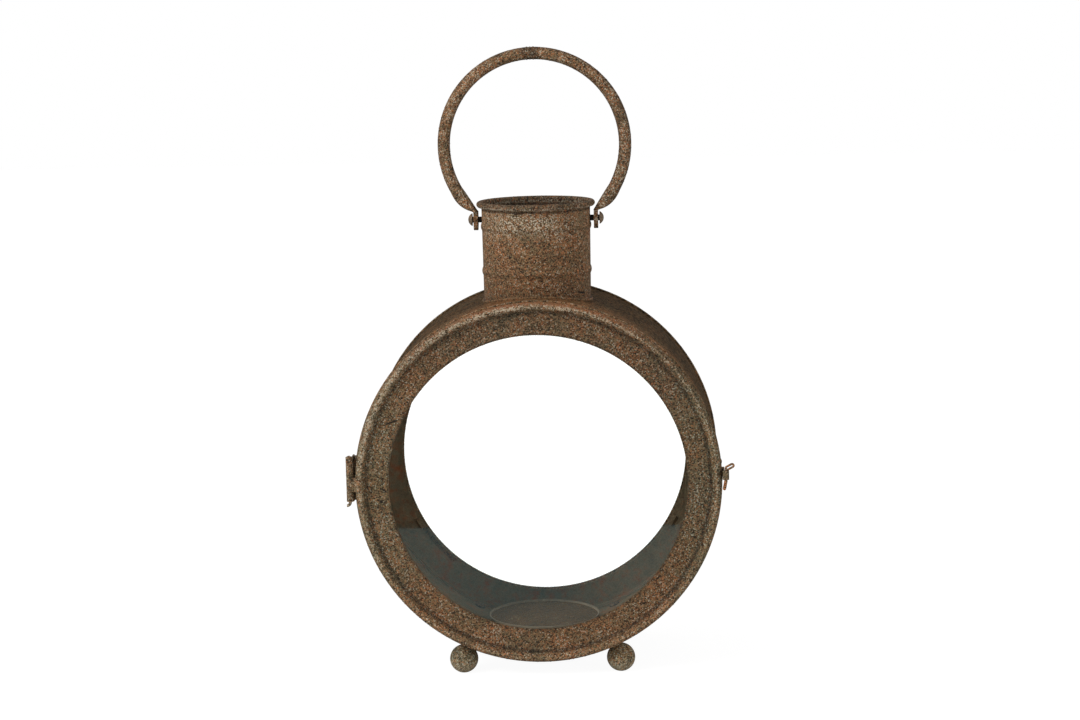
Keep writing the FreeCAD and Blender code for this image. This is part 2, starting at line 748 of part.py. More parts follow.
strap = new_body("hinge_strap_bent")
disc = new_sketch(strap, "strap_circle", "XY_Plane", strap_bottom)
draw_circle(disc, hinge_x, -hinge_ahead, S.knuckle_radius)
pad(strap, disc, "strap_knuckle", strap_top - strap_bottom)
wrap_inner = S.bead_radius + S.strap_fit
wrap_outer = wrap_inner + S.leaf_sheet
strap_front = hinge_ahead + S.knuckle_radius
strap_rear = strap_front - S.leaf_sheet
wrap_centre = (-bead_x, -bead_y)
wrap_end = -S.strap_wrap_angle
meet_outer = -bead_x - across(wrap_outer, strap_front - bead_y)
meet_inner = -bead_x - across(wrap_inner, strap_rear - bead_y)
wrap = new_sketch(strap, "strap_plan", "XY_Plane", strap_bottom)
draw_outline(wrap, [
    (hinge_x, -strap_front), (meet_outer, -strap_front), Bend(wrap_outer, LEFT),
    polar(wrap_centre, wrap_outer, wrap_end), polar(wrap_centre, wrap_inner, wrap_end),
    Bend(wrap_inner, RIGHT), (meet_inner, -strap_rear), (hinge_x, -strap_rear)])
pad(strap, wrap, "strap_wrap", strap_top - strap_bottom)
bore_sketch = new_sketch(strap, "strap_bore", "XY_Plane", strap_bottom - S.overrun)
draw_circle(bore_sketch, hinge_x, -hinge_ahead, hinge_bore)
cut_through(strap, bore_sketch, "strap_bored", reverse=True)
keep("hinge_strap", place(strap, ZERO, ZERO, axis_height))

# Wire pin: a small head above, a straight shank and a curl below that points outwards
pin_body = new_body("hinge_wire")
head_base = S.hinge_top + S.knuckle_gap / 2
head = new_sketch(pin_body, "pin_head_profile", "XZ_Plane")
head_dome = (S.pin_head_radius * S.pin_head_radius + S.pin_head_height * S.pin_head_height) \
    / (S.pin_head_height * 2)
shank_end = S.hinge_bottom - S.pin_curl_drop
draw_outline(head, [
    (ZERO, shank_end), (S.hinge_pin_radius, shank_end), (S.hinge_pin_radius, head_base),
    (S.pin_head_radius, head_base), Bend(head_dome, LEFT), (ZERO, head_base + S.pin_head_height)])
revolve(pin_body, head, "pin_shank")
curl_section = new_sketch(pin_body, "pin_curl_section", "XY_Plane", shank_end)
draw_circle(curl_section, ZERO, ZERO, S.hinge_pin_radius)
curl_path = new_sketch(pin_body, "pin_curl_path", "XZ_Plane")
curl_radius = S.pin_curl_radius
curl_low = (-curl_radius, shank_end - curl_radius)
first = curl_path.addGeometry(Part.ArcOfCircle(
    Part.Circle(FreeCAD.Vector(-curl_radius.value, shank_end.value, 0), UPWARD, curl_radius.value),
    -math.pi / 2, 0), False)
index = curl_path.addConstraint(Sketcher.Constraint("Radius", first, curl_radius.value))
bind(curl_path, f"Constraints[{index}]", curl_radius)
pin_point(curl_path, first, 1, curl_low)
pin_point(curl_path, first, 2, (ZERO, shank_end))
curl = pin_body.newObject("PartDesign::AdditivePipe", "pin_curl")
curl.Profile = curl_section
curl.Spine = (curl_path, ["Edge1"])
keep("hinge_pin", place(pin_body, hinge_x, -hinge_ahead, axis_height))

# Latch bracket: a plate on the band whose front end is rolled into an upright knuckle
latch_bore = S.latch_wire_radius + S.hinge_slack
latch_web = hem_reach + S.leaf_hem_gap
bracket = new_body("latch_bracket_blank")
curved_leaf(bracket, "bracket", S.latch_knuckle_bottom - S.leaf_lug,
            S.latch_knuckle_top + S.leaf_lug, 1, S.leaf_length)
lug_block(bracket, "bracket_lug", S.latch_knuckle_bottom, S.latch_knuckle_top, 1,
          latch_web + S.leaf_sheet)
knuckle_block(bracket, "bracket_end", S.latch_knuckle_bottom, S.latch_knuckle_top, latch_x,
              latch_ahead, S.latch_knuckle_radius,
              (latch_web, latch_web + S.leaf_sheet, leaf_front - S.leaf_lug))
bore_sketch = new_sketch(bracket, "bracket_bore", "XY_Plane", S.latch_knuckle_bottom - S.overrun)
draw_circle(bore_sketch, latch_x, -latch_ahead, latch_bore)
cut_through(bracket, bore_sketch, "bracket_bored", reverse=True)
place(bracket, ZERO, ZERO, axis_height)
latch_fixings = [
    band_rivet("latch_rivet_above", 1, S.latch_rivet_upper),
    band_rivet("latch_rivet_below", 1, S.latch_rivet_lower)]
latch_holes = [hole for pin, hole in latch_fixings]
keep("latch_bracket", cut("latch_bracket", bracket, latch_holes))
keep("latch_rivets", group("latch_rivet_set", [pin for pin, hole in latch_fixings]))

# Latch loop: wire that turns in the knuckle, with a long eye above it and a flattened tail below
latch = new_body("latch_wire")
shank_top = S.latch_knuckle_top + S.latch_loop_rise
tail_top = S.latch_knuckle_bottom - S.latch_collar
shank = new_sketch(latch, "latch_shank_circle", "XY_Plane", tail_top - S.latch_wire_radius)
draw_circle(shank, ZERO, ZERO, S.latch_wire_radius)
pad(latch, shank, "latch_shank", shank_top - tail_top + S.latch_wire_radius * 2)


def leaning(angle, height, along, aside):
    """A point along and beside a line that leaves the shank at this angle and height."""
    return (cosine(angle) * along - sine(angle) * aside,
            height + sine(angle) * along + cosine(angle) * aside)


def loop_point(along, aside):
    return leaning(S.latch_loop_angle, shank_top, along, aside)


def tail_point(along, aside):
    return leaning(S.latch_tail_angle, tail_top, along, aside)


near = S.latch_loop_radius
far = near + S.latch_loop_length
wire_path = new_sketch(latch, "latch_loop_path", "XZ_Plane")
draw_outline(wire_path, [
    loop_point(ZERO, ZERO), Bend(near, LEFT), loop_point(near, -near), loop_point(far, -near),
    Bend(near, LEFT), loop_point(far + near, ZERO), Bend(near, LEFT), loop_point(far, near),
    loop_point(near, near), Bend(near, LEFT)])
section_turn = FreeCAD.Rotation(DEPTH, (HALF_TURN - S.latch_loop_angle).value)
wire_section = new_sketch(latch, "latch_loop_section", "XY_Plane", turn=section_turn,
                          spot=(ZERO, ZERO, shank_top))
draw_circle(wire_section, ZERO, ZERO, S.latch_wire_radius)
eye = latch.newObject("PartDesign::AdditivePipe", "latch_eye")
eye.Profile = wire_section
eye.Spine = (wire_path, [f"Edge{number}" for number in range(1, 7)])
tail = new_sketch(latch, "latch_tail_outline", "XZ_Plane", -S.latch_wire_radius)
half_tail = S.latch_tail_width / 2
tail_round = S.latch_tail_length - half_tail
draw_outline(tail, [
    tail_point(ZERO, half_tail), tail_point(ZERO, -half_tail), tail_point(tail_round, -half_tail),
    Bend(half_tail, LEFT), tail_point(S.latch_tail_length, ZERO), Bend(half_tail, LEFT),
    tail_point(tail_round, half_tail)])
pad(latch, tail, "latch_tail", S.latch_wire_radius * 2)
keep("latch_loop", place(latch, latch_x, -latch_ahead, axis_height))

drum_cuts = foot_holes + stand_holes + hinge_holes + latch_holes
keep("drum_band", cut("drum_band", band, [chimney_hole] + drum_cuts))

# Chimney: a slightly tapered tube with two swaged lines and a rolled rim, cut to sit on the band
chimney = new_body("chimney_tube")
profile = new_sketch(chimney, "chimney_profile", "XZ_Plane")
tube_start = across(S.band_radius, S.chimney_top_radius) - S.overrun
taper = (S.chimney_top_radius - S.chimney_foot_radius) / (rim_height - tube_start)
rim_centre = S.chimney_top_radius + S.rim_radius - S.sheet
upper_swage = rim_height - S.upper_swage_drop
lower_swage = rim_height - S.lower_swage_drop
swage_half = S.swage_width / 2
swage_bend = (swage_half * swage_half + S.swage_height * S.swage_height) / (S.swage_height * 2)


def wall(height, inset=ZERO):
    return S.chimney_foot_radius - inset + taper * (height - tube_start), height


def swage(height, inset, side):
    """A swaged line on one face of the wall, drawn upwards or downwards."""
    return [wall(height - swage_half * side, inset), Bend(swage_bend, side),
            wall(height + swage_half * side, inset)]


rim_meets_wall = rim_height - across(S.rim_radius, S.rim_radius - S.sheet)
draw_outline(profile, [wall(tube_start)]
             + swage(lower_swage, ZERO, LEFT) + swage(upper_swage, ZERO, LEFT)
             + [(S.chimney_top_radius, rim_meets_wall), Bend(S.rim_radius, LEFT),
                (rim_centre + S.rim_radius, rim_height), Bend(S.rim_radius, LEFT),
                (rim_centre, rim_height + S.rim_radius), Bend(S.rim_radius, LEFT),
                (rim_centre - S.rim_radius, rim_height)]
             + swage(upper_swage, S.sheet, RIGHT) + swage(lower_swage, S.sheet, RIGHT)
             + [wall(tube_start, S.sheet)])
revolve(chimney, profile, "chimney_turned")
place(chimney, ZERO, ZERO, axis_height)
saddle = cylinder("saddle", S.band_radius, S.band_radius * 2, ZERO, S.band_radius, axis_height,
                  FreeCAD.Rotation(ACROSS, 90))
pin_hole = cylinder("handle_pin_holes", S.handle_pin_radius + S.handle_pin_slack,
                    S.handle_radius * 2, -S.handle_radius, ZERO, pivot_height,
                    FreeCAD.Rotation(DEPTH, 90))
keep("chimney", cut("chimney", chimney, [saddle, pin_hole]))

# Handle pins: riveted inside the chimney, with a domed head outside the handle
tab_outer = handle_tab_inner + S.handle_tab_sheet
chimney_inside = wall(pivot_rise, S.sheet)[0]
pin_start = across(chimney_inside, S.handle_pin_tail_radius) - S.rivet_seat
pin_grip = tab_outer + S.handle_pin_head_gap - pin_start
for word, side in (("left", -1), ("right", 1)):
    pin = rivet(f"handle_rivet_{word}", S.handle_pin_radius,
                (S.handle_pin_head_radius, S.handle_pin_head_height),
                (S.handle_pin_tail_radius, S.handle_pin_tail_height), pin_grip)
    turn = FreeCAD.Rotation(DEPTH, 90 * side)
    keep(f"{word}_handle_pin", place(pin, pin_start * side, ZERO, pivot_height, turn))

# Handle: a tube bent round, its ends flattened into drilled tabs that hang on the pins
handle = new_body("handle_tube")
ring_section = new_sketch(handle, "handle_section", "YZ_Plane")
draw_circle(ring_section, ZERO, handle_centre + S.handle_radius, S.handle_tube_radius)
arch_axis = new_sketch(handle, "handle_arch_axis", "YZ_Plane")
axis_line = arch_axis.addGeometry(
    Part.LineSegment(FreeCAD.Vector(0, handle_centre.value, 0),
                     FreeCAD.Vector(S.handle_radius.value, handle_centre.value, 0)), False)
pin_point(arch_axis, axis_line, 1, (ZERO, handle_centre))
pin_point(arch_axis, axis_line, 2, (S.handle_radius, handle_centre))
arch = handle.newObject("PartDesign::Revolution", "handle_arch")
arch.Profile = ring_section
arch.ReferenceAxis = (arch_axis, ["Edge1"])
arch.Midplane = True
arch.Angle = (HALF_TURN + S.handle_sweep_angle * 2).value
bind(arch, "Angle", HALF_TURN + S.handle_sweep_angle * 2)

tube = S.handle_tube_radius
corner = polar((ZERO, ZERO), tube, S.handle_section_angle)


def round_section(name, angle):
    """The tube's circle, in four arcs, where the arch has come this far below its middle."""
    spot = (S.handle_radius * cosine(angle), ZERO,
            handle_centre - S.handle_radius * sine(angle))
    turn = FreeCAD.Rotation(DEPTH, (HALF_TURN + angle).value)
    return draw_outline(new_sketch(handle, name, "XY_Plane", turn=turn, spot=spot), [
        (corner[0], -corner[1]), Bend(tube, LEFT), corner, Bend(tube, LEFT),
        (-corner[0], corner[1]), Bend(tube, LEFT), (-corner[0], -corner[1]), Bend(tube, LEFT)])


round_end = round_section("handle_round_end", S.handle_sweep_angle)
round_turn = round_section("handle_round_turn", S.handle_flare_angle)
flat_spot = ((handle_tab_inner + tab_outer) / 2, ZERO, S.handle_tab_top)
flat_end = new_sketch(handle, "handle_flat_end", "XY_Plane",
                      turn=FreeCAD.Rotation(DEPTH, 180), spot=flat_spot)
half_tab, tab_edge = S.handle_tab_sheet / 2, S.handle_tab_half_width - S.handle_tab_sheet / 4
draw_outline(flat_end, [
    (half_tab, -tab_edge), Bend(S.handle_face_radius, LEFT), (half_tab, tab_edge),
    Bend(S.handle_edge_radius, LEFT), (-half_tab, tab_edge), Bend(S.handle_face_radius, LEFT),
    (-half_tab, -tab_edge), Bend(S.handle_edge_radius, LEFT)])
flare = handle.newObject("PartDesign::AdditiveLoft", "handle_flare")
flare.Profile = round_end
flare.Sections = [round_turn, flat_end]
tab_sketch = new_sketch(handle, "handle_tab_outline", "YZ_Plane", handle_tab_inner)
width = S.handle_tab_half_width
tab_round = -S.handle_tab_drop + width
draw_outline(tab_sketch, [
    (-width, S.handle_tab_top), (-width, tab_round), Bend(width, LEFT), (ZERO, -S.handle_tab_drop),
    Bend(width, LEFT), (width, tab_round), (width, S.handle_tab_top)])
tab_pad = pad(handle, tab_sketch, "handle_tab", S.handle_tab_sheet)
mirrored = handle.newObject("PartDesign::Mirrored", "handle_other_end")
mirrored.Originals = [flare, tab_pad]
middle_plane = next(item for item in handle.Origin.OriginFeatures if item.Role == "YZ_Plane")
mirrored.MirrorPlane = (middle_plane, [""])
handle.Tip = mirrored
pin_bore = new_sketch(handle, "handle_pin_bore", "YZ_Plane")
draw_circle(pin_bore, ZERO, ZERO, S.handle_pin_radius + S.handle_pin_slack)
cut_through(handle, pin_bore, "handle_bored", both_ways=True)
keep("handle", place(handle, ZERO, ZERO, pivot_height))

# Check the document, then write one file for each node
doc.recompute()
for item in doc.Objects:
    if "Invalid" in item.State or "Error" in item.State:
        raise RuntimeError(f"{item.Name} failed: {item.State}")
for label, item in NODES.items():
    shape = item.Shape
    if shape.isNull() or not shape.isValid() or not shape.Solids:
        raise RuntimeError(f"{label} has no valid solid")
os.makedirs("parts", exist_ok=True)
box_of_all = FreeCAD.BoundBox()
for label, item in sorted(NODES.items()):
    item.Shape.exportStep(f"parts/{label}.step")
    box_of_all.add(item.Shape.optimalBoundingBox(False, False))
    print(f"{label}: {len(item.Shape.Solids)} solids, {item.Shape.Volume:.0f} mm3")
print(f"{len(NODES)} nodes in a box of {box_of_all}")
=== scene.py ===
# %% [markdown]
# This lantern is a drum of thin steel sheet with a glazed door. Its metal is the story: it was
# left to rust, and the rust has a grain that the hand would feel. The solids come packed from the
# frame, at their real size, so the work here is finishes, light, and the few soft shapes that
# solder, welds and rust scale leave behind. All lengths are in metres, so a length that a maker
# would give in millimetres is written as a number times MM.

# %% Load the frame
import json
import math

import bmesh
import bpy
from mathutils import Matrix, Vector


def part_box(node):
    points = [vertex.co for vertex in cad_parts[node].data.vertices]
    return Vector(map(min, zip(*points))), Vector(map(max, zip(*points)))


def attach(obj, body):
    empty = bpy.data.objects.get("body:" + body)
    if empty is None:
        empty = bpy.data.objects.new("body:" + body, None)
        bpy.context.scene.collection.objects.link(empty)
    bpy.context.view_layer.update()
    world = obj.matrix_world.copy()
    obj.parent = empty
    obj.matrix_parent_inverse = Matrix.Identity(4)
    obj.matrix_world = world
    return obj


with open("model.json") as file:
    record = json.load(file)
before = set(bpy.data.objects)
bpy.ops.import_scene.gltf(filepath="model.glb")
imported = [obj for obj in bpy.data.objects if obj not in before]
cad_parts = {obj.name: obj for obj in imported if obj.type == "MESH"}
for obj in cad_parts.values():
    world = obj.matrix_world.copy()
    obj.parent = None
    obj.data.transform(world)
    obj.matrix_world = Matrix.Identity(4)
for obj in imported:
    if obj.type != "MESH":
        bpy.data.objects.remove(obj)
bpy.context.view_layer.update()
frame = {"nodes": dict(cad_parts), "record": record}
nodes = frame["nodes"]
MM = 0.001

# %% [markdown]
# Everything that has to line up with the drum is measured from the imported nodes: the drum's axis
# is level with the middle of the door ring, and the chimney stands on the band. Only what a box
# can't tell, such as how far a hem stands out, is written here again.

# %% Measure the drum
HEM_OUT = 1.6 * MM
RIM_OUT = 4.0 * MM
FOOT_TAPER = 0.6 * MM
BEAD_RADIUS = 3.4 * MM
RING_WIDTH = 26.4 * MM

ring_low, ring_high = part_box("door_ring")
band_low, band_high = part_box("drum_band")
chimney_low, chimney_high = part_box("chimney")
axis_height = (ring_low.z + ring_high.z) / 2
door_radius = (ring_high.x - ring_low.x) / 2
bead_centre = door_radius - BEAD_RADIUS
opening_radius = door_radius - RING_WIDTH
band_radius = (band_high.x - band_low.x) / 2 - HEM_OUT
tube_radius = (chimney_high.x - chimney_low.x) / 2 - RIM_OUT
foot_radius = tube_radius - FOOT_TAPER
print("drum axis at", round(axis_height / MM, 1), "mm, door radius", round(door_radius / MM, 1))

# %% [markdown]
# The camera stands two metres away and looks slightly down and from a little to the right. A long
# lens at that distance keeps the circles of the drum almost round. A small roll is kept, because
# the lantern leans by about a degree in the picture.

# %% Place the camera
CAMERA_DISTANCE = 2.0
CAMERA_YAW = math.radians(2.394)
CAMERA_PITCH = math.radians(8.535)
CAMERA_ROLL = math.radians(-1.25)
CAMERA_TARGET = Vector((0.71, 1.7, 244.74)) * MM
SENSOR_WIDTH = 36.0
LENS = 81.737

back = Vector((
    math.sin(CAMERA_YAW) * math.cos(CAMERA_PITCH),
    -math.cos(CAMERA_YAW) * math.cos(CAMERA_PITCH),
    math.sin(CAMERA_PITCH)))
right = Vector((math.cos(CAMERA_YAW), math.sin(CAMERA_YAW), 0))
up = back.cross(right)
rolled_right = right * math.cos(CAMERA_ROLL) + up * math.sin(CAMERA_ROLL)
rolled_up = up * math.cos(CAMERA_ROLL) - right * math.sin(CAMERA_ROLL)
camera = bpy.data.objects.new("camera", bpy.data.cameras.new("camera"))
camera.data.sensor_width = SENSOR_WIDTH
camera.data.lens = LENS
turn = Matrix((rolled_right, rolled_up, back)).transposed().to_4x4()
camera.matrix_world = Matrix.Translation(CAMERA_TARGET + back * CAMERA_DISTANCE) @ turn
bpy.context.scene.collection.objects.link(camera)
bpy.context.scene.camera = camera
bpy.context.scene.view_settings.view_transform = "Standard"
print("the camera stands at", [round(value, 2) for value in camera.matrix_world.translation], "m")

# %% [markdown]
# Node trees read best as ordinary sums. The small class below wraps a socket, so that
# `1 - mask * 2` builds the Math nodes by itself. Shaders and Geometry Nodes share the same Math
# and Map Range nodes, so the class serves both kinds of tree.

# %% Write node maths as sums
class Signal:
    """A socket that takes part in sums."""

    def __init__(self, plan, socket):
        self.plan, self.socket = plan, socket

    def maths(self, operation, *values, clamp=False):
        """One Math node."""
        settings = {"operation": operation, "use_clamp": clamp}
        return self.plan.add("ShaderNodeMath", settings, values)

    def __add__(self, other):
        return self.maths("ADD", self, other)

    def __sub__(self, other):
        return self.maths("SUBTRACT", self, other)

    def __rsub__(self, other):
        return self.maths("SUBTRACT", other, self)

    def __mul__(self, other):
        return self.maths("MULTIPLY", self, other)

    def __truediv__(self, other):
        return self.maths("DIVIDE", self, other)

    def __pow__(self, other):
        return self.maths("POWER", self, other)

    def __abs__(self):
        return self.maths("ABSOLUTE", self)

    __radd__ = __add__
    __rmul__ = __mul__

    def limited(self):
        """Held between 0 and 1."""
        return self.maths("ADD", self, 0.0, clamp=True)

    def between(self, low, high):
        """0 at low, 1 at high, and a smooth slope from one to the other."""
        settings = {"interpolation_type": "SMOOTHSTEP"}
        return self.plan.add("ShaderNodeMapRange", settings, {0: self, 1: low, 2: high})

    def above(self, limit):
        """1 where the number is more than the limit."""
        return self.maths("GREATER_THAN", self, limit)

    def below(self, limit):
        """1 where the number is less than the limit."""
        return self.maths("LESS_THAN", self, limit)

    def part(self, index):
        """One of the three numbers of a vector."""
        node = self.plan.add_node("ShaderNodeSeparateXYZ", {}, [self])
        return Signal(self.plan, node.outputs[index])


# %% [markdown]
# Every other node comes from one method. It takes the node's type, its settings, and what goes
# into its sockets: numbers, colours, or signals that it links. Noise is used so often, in the
# rust as well as in the solder, that it gets a method of its own, whose size is a length.

# %% Add nodes to a tree
class Plan:
    """A node tree under construction."""

    def __init__(self, tree):
        self.tree = tree

    def add_node(self, kind, settings, inputs):
        """A new node with its settings made and its inputs filled."""
        node = self.tree.nodes.new(kind)
        for name, value in settings.items():
            setattr(node, name, value)
        pairs = inputs.items() if isinstance(inputs, dict) else enumerate(inputs)
        for key, value in pairs:
            if isinstance(value, Signal):
                self.tree.links.new(value.socket, node.inputs[key])
            elif value is not None:
                node.inputs[key].default_value = value
        return node

    def add(self, kind, settings, inputs, output=0):
        """One output of a new node, ready for sums."""
        return Signal(self, self.add_node(kind, settings, inputs).outputs[output])

    def noise(self, point, size, detail=2.0, roughness=0.5, distortion=0.0):
        """Noise whose lumps are about as wide as size."""
        inputs = {"Vector": point, "Scale": 1 / size, "Detail": detail,
                  "Roughness": roughness, "Distortion": distortion}
        return self.add("ShaderNodeTexNoise", {}, inputs, "Fac")


# %% [markdown]
# A finish is a material whose tree starts empty. It reads Object coordinates, which every piece
# shares because they all sit at the origin, so rust runs on from one piece to the next. Colours
# are written as they look on a screen, because that is how anyone picks them, and are made linear
# here.

# %% Start a finish
class Finish(Plan):
    """A material."""

    def __init__(self, name):
        self.material = bpy.data.materials.new(name)
        self.material.use_nodes = True
        super().__init__(self.material.node_tree)
        self.tree.nodes.clear()

    def position(self):
        """Where a point of the surface is, in metres."""
        return self.add("ShaderNodeTexCoord", {}, [], "Object")

    def cells(self, point, size):
        """Distance from the middle of the nearest grain, and three random numbers for it."""
        node = self.add_node("ShaderNodeTexVoronoi", {}, {"Vector": point, "Scale": 1 / size})
        tint = Signal(self, node.outputs["Color"])
        return Signal(self, node.outputs["Distance"]), [tint.part(index) for index in range(3)]

    def mix(self, mask, first, second):
        """A colour between two colours."""
        return self.add("ShaderNodeMix", {"data_type": "RGBA"}, {0: mask, 6: first, 7: second}, 2)

    def surface(self, inputs):
        """End the tree with a Principled shader."""
        return self.close(self.add("ShaderNodeBsdfPrincipled", {}, inputs))

    def close(self, shader):
        """End the tree with a shader of any kind."""
        self.add_node("ShaderNodeOutputMaterial", {}, {"Surface": shader})
        return self.material


def colour(red, green, blue):
    """A colour given as it looks on a screen, from 0 to 255, made linear."""
    def linear(value):
        """One of the three numbers, made linear."""
        share = value / 255
        return share / 12.92 if share <= 0.04045 else ((share + 0.055) / 1.055) ** 2.4
    return tuple(linear(value) for value in (red, green, blue)) + (1.0,)


# %% [markdown]
# Rust varies at many sizes at once: in clouds as wide as a hand, in patches, in blotches, in
# crumbs about a millimetre wide with larger grit among them, and in a grain finer than all these.
# Crumbs and grit are cells, and each cell has three random numbers of its own, so neighbours
# differ as grains of sand do. All of them are made once for each finish, and whatever colours the
# finish later can read them.

# %% Gather the noises of rust
CLOUD = 60 * MM
PATCH = 13 * MM
BLOTCH = 4.5 * MM
GRAIN = 0.7 * MM
CRUMB = 0.82 * MM
GRIT = 2.3 * MM


class Rust:
    """The noises of one rusted finish, kept so that the places can use them too."""

    def __init__(self, name):
        self.finish = finish = Finish(name)
        self.point = finish.position()
        self.broad = finish.noise(self.point, CLOUD, 3.0, 0.55)
        self.patch = finish.noise(self.point, PATCH, 4.0, 0.6, 0.4)
        self.blotch = finish.noise(self.point, BLOTCH, 3.0, 0.6)
        self.grain = finish.noise(self.point, GRAIN, 2.0, 0.6)
        self.crumb_far, self.crumb = finish.cells(self.point, CRUMB)
        self.grit_far, self.grit = finish.cells(self.point, GRIT)

    def shaded(self, coat, share):
        """The coat made darker or lighter, with its grain kept."""
        return self.finish.add("ShaderNodeVectorMath", {"operation": "SCALE"}, {
            0: coat, "Scale": share})

    def tinted(self, coat, shift):
        """The coat with its red, green and blue each scaled by a number."""
        return self.finish.add("ShaderNodeVectorMath", {"operation": "MULTIPLY"}, [coat, shift])


# %% [markdown]
# Rust is coloured in layers, as it grows. A coat varies slowly between a cool olive brown and a
# warm one. Single crumbs are russet or mossy, and every crumb has a tone of its own. A few crumbs
# are pale, where the rust is worn, and a few pits between the grit are black. Warmth shifts the
# hue, and pale is the share of pale crumbs.

# %% Colour a coat of rust
COAT_WARM = colour(114, 87, 59)
COAT_COOL = colour(101, 86, 64)
RUSSET = colour(146, 86, 50)
MOSS = colour(96, 92, 66)
PALE = colour(178, 165, 143)
BLACK = colour(20, 16, 12)
OLIVE_SHIFT = (0.9, 1.03, 1.07)
CRUMB_CONTRAST = 1.75


def rust_coat(rust, tone, warmth, pale, coarse):
    """The colour of rusted sheet, before its place adds anything."""
    finish = rust.finish
    warm = rust.broad * 0.6 + rust.patch * 0.4 + (warmth - 0.5) * 0.5
    coat = finish.mix(warm.between(0.3, 0.68), COAT_COOL, COAT_WARM)
    rusty = rust.crumb[1] * 0.75 + rust.patch * 0.7 + (warmth - 0.5) * 0.4
    coat = finish.mix(rusty.between(0.7, 1.2) * 0.75 * coarse, coat, RUSSET)
    mossy = rust.crumb[1] + rust.patch * 0.5
    coat = finish.mix(mossy.between(0.5, 0.3) * 0.45, coat, MOSS)
    spread = 1 + (rust.crumb[0] - 0.5) * CRUMB_CONTRAST * coarse
    lumpy = (0.9 + rust.grit[0] * 0.16) * (0.87 + rust.blotch * 0.22)
    coat = rust.shaded(coat, spread * lumpy * tone)
    pale_crumb = rust.crumb[2] * 0.9 + rust.patch * 0.3 + rust.blotch * 0.1
    coat = finish.mix(pale_crumb.between(1.06 - pale, 1.16 - pale) * 0.75, coat, PALE)
    pits = (rust.grit[1] + rust.patch * 0.3).between(0.24, 0.16) * rust.grit_far.between(0.6, 0.35)
    return finish.mix(pits * 0.75, coat, BLACK)


# %% [markdown]
# The bump follows the same crumbs, grit and blotches as the colour, so that colour and relief
# agree. It comes in two steps, because a blotch is a broader and gentler rise than a crumb. One
# function then makes every rusted finish, so that the pieces look like one object, and a function
# of the place adds what is special to it.

# %% Build the rusted finish
CRUMB_RELIEF = 0.4 * MM
BLOTCH_RELIEF = 1.1 * MM


def rust_relief(rust):
    """The bumps of rusted sheet."""
    dome = (0.75 - rust.crumb_far) * (0.3 + rust.crumb[0])
    height = dome * 0.5 + rust.grain * 0.4 + (0.7 - rust.grit_far) * rust.grit[0] * 0.5
    fine = rust.finish.add("ShaderNodeBump", {}, {
        "Height": height, "Distance": CRUMB_RELIEF, "Strength": 0.7})
    return rust.finish.add("ShaderNodeBump", {}, {
        "Height": rust.blotch, "Distance": BLOTCH_RELIEF, "Strength": 0.35, "Normal": fine})


def rusted(name, tone=1.0, warmth=0.5, pale=0.1, places=None, coarse=1.0, gloss=0.2):
    """Rusted sheet, with what a place adds to its coat."""
    rust = Rust(name)
    coat = rust_coat(rust, tone, warmth, pale, coarse)
    if places:
        coat = places(rust, coat)
    return rust.finish.surface({
        "Base Color": coat, "Roughness": 0.6 + rust.grain * 0.3, "Normal": rust_relief(rust),
        "Specular IOR Level": gloss})


# %% [markdown]
# The same sheet looks different by place. The masks below read where a point is: how far from the
# drum's axis, how near to the front, how high on the chimney. They never read the camera, so the
# wear stays where it is when the view moves.

# %% Measure places inside a finish
def drum_distance(rust):
    """How far a point is from the axis of the drum."""
    across = rust.point.part(0)
    height = rust.point.part(2) - axis_height
    return (across * across + height * height) ** 0.5


def chimney_distance(rust):
    """How far a point is from the axis of the chimney."""
    across, along = rust.point.part(0), rust.point.part(1)
    return (across * across + along * along) ** 0.5


def band_of(value, middle, half_width):
    """1 at the middle and 0 from half_width on, to both sides."""
    return abs(value - middle).between(half_width, half_width * 0.2)


# %% [markdown]
# Four short cracks run through the rust near the inner edge of the door. Each is the distance to a
# straight line, shaken by noise. The places are on the door, in millimetres from its middle.

# %% Draw cracks on the door
CRACKS = {
    "long": ((-120.0, 48.5), (-111.5, 52.0)),
    "short": ((-125.5, -2.6), (-121.0, -5.2)),
    "low": ((-127.5, -11.5), (-122.5, -14.0)),
    "low_right": ((96.0, -76.0), (92.0, -79.5)),
}
CRACK_HALF_WIDTH = 0.9 * MM
CRACK_SHAKE = 5 * MM


def crack(rust, start, end):
    """1 on a line between two places of the door."""
    (x0, z0), (x1, z1) = ([value * MM for value in place] for place in (start, end))
    length_squared = (x1 - x0) ** 2 + (z1 - z0) ** 2
    shake = (rust.blotch - 0.5) * CRACK_SHAKE
    x = rust.point.part(0) - x0 + shake
    z = rust.point.part(2) - (axis_height + z0) + shake
    along = ((x * (x1 - x0) + z * (z1 - z0)) / length_squared).limited()
    off_x, off_z = x - along * (x1 - x0), z - along * (z1 - z0)
    off = (off_x * off_x + off_z * off_z) ** 0.5
    return off.between(CRACK_HALF_WIDTH, CRACK_HALF_WIDTH * 0.35)


print("the door has", len(CRACKS), "cracks")
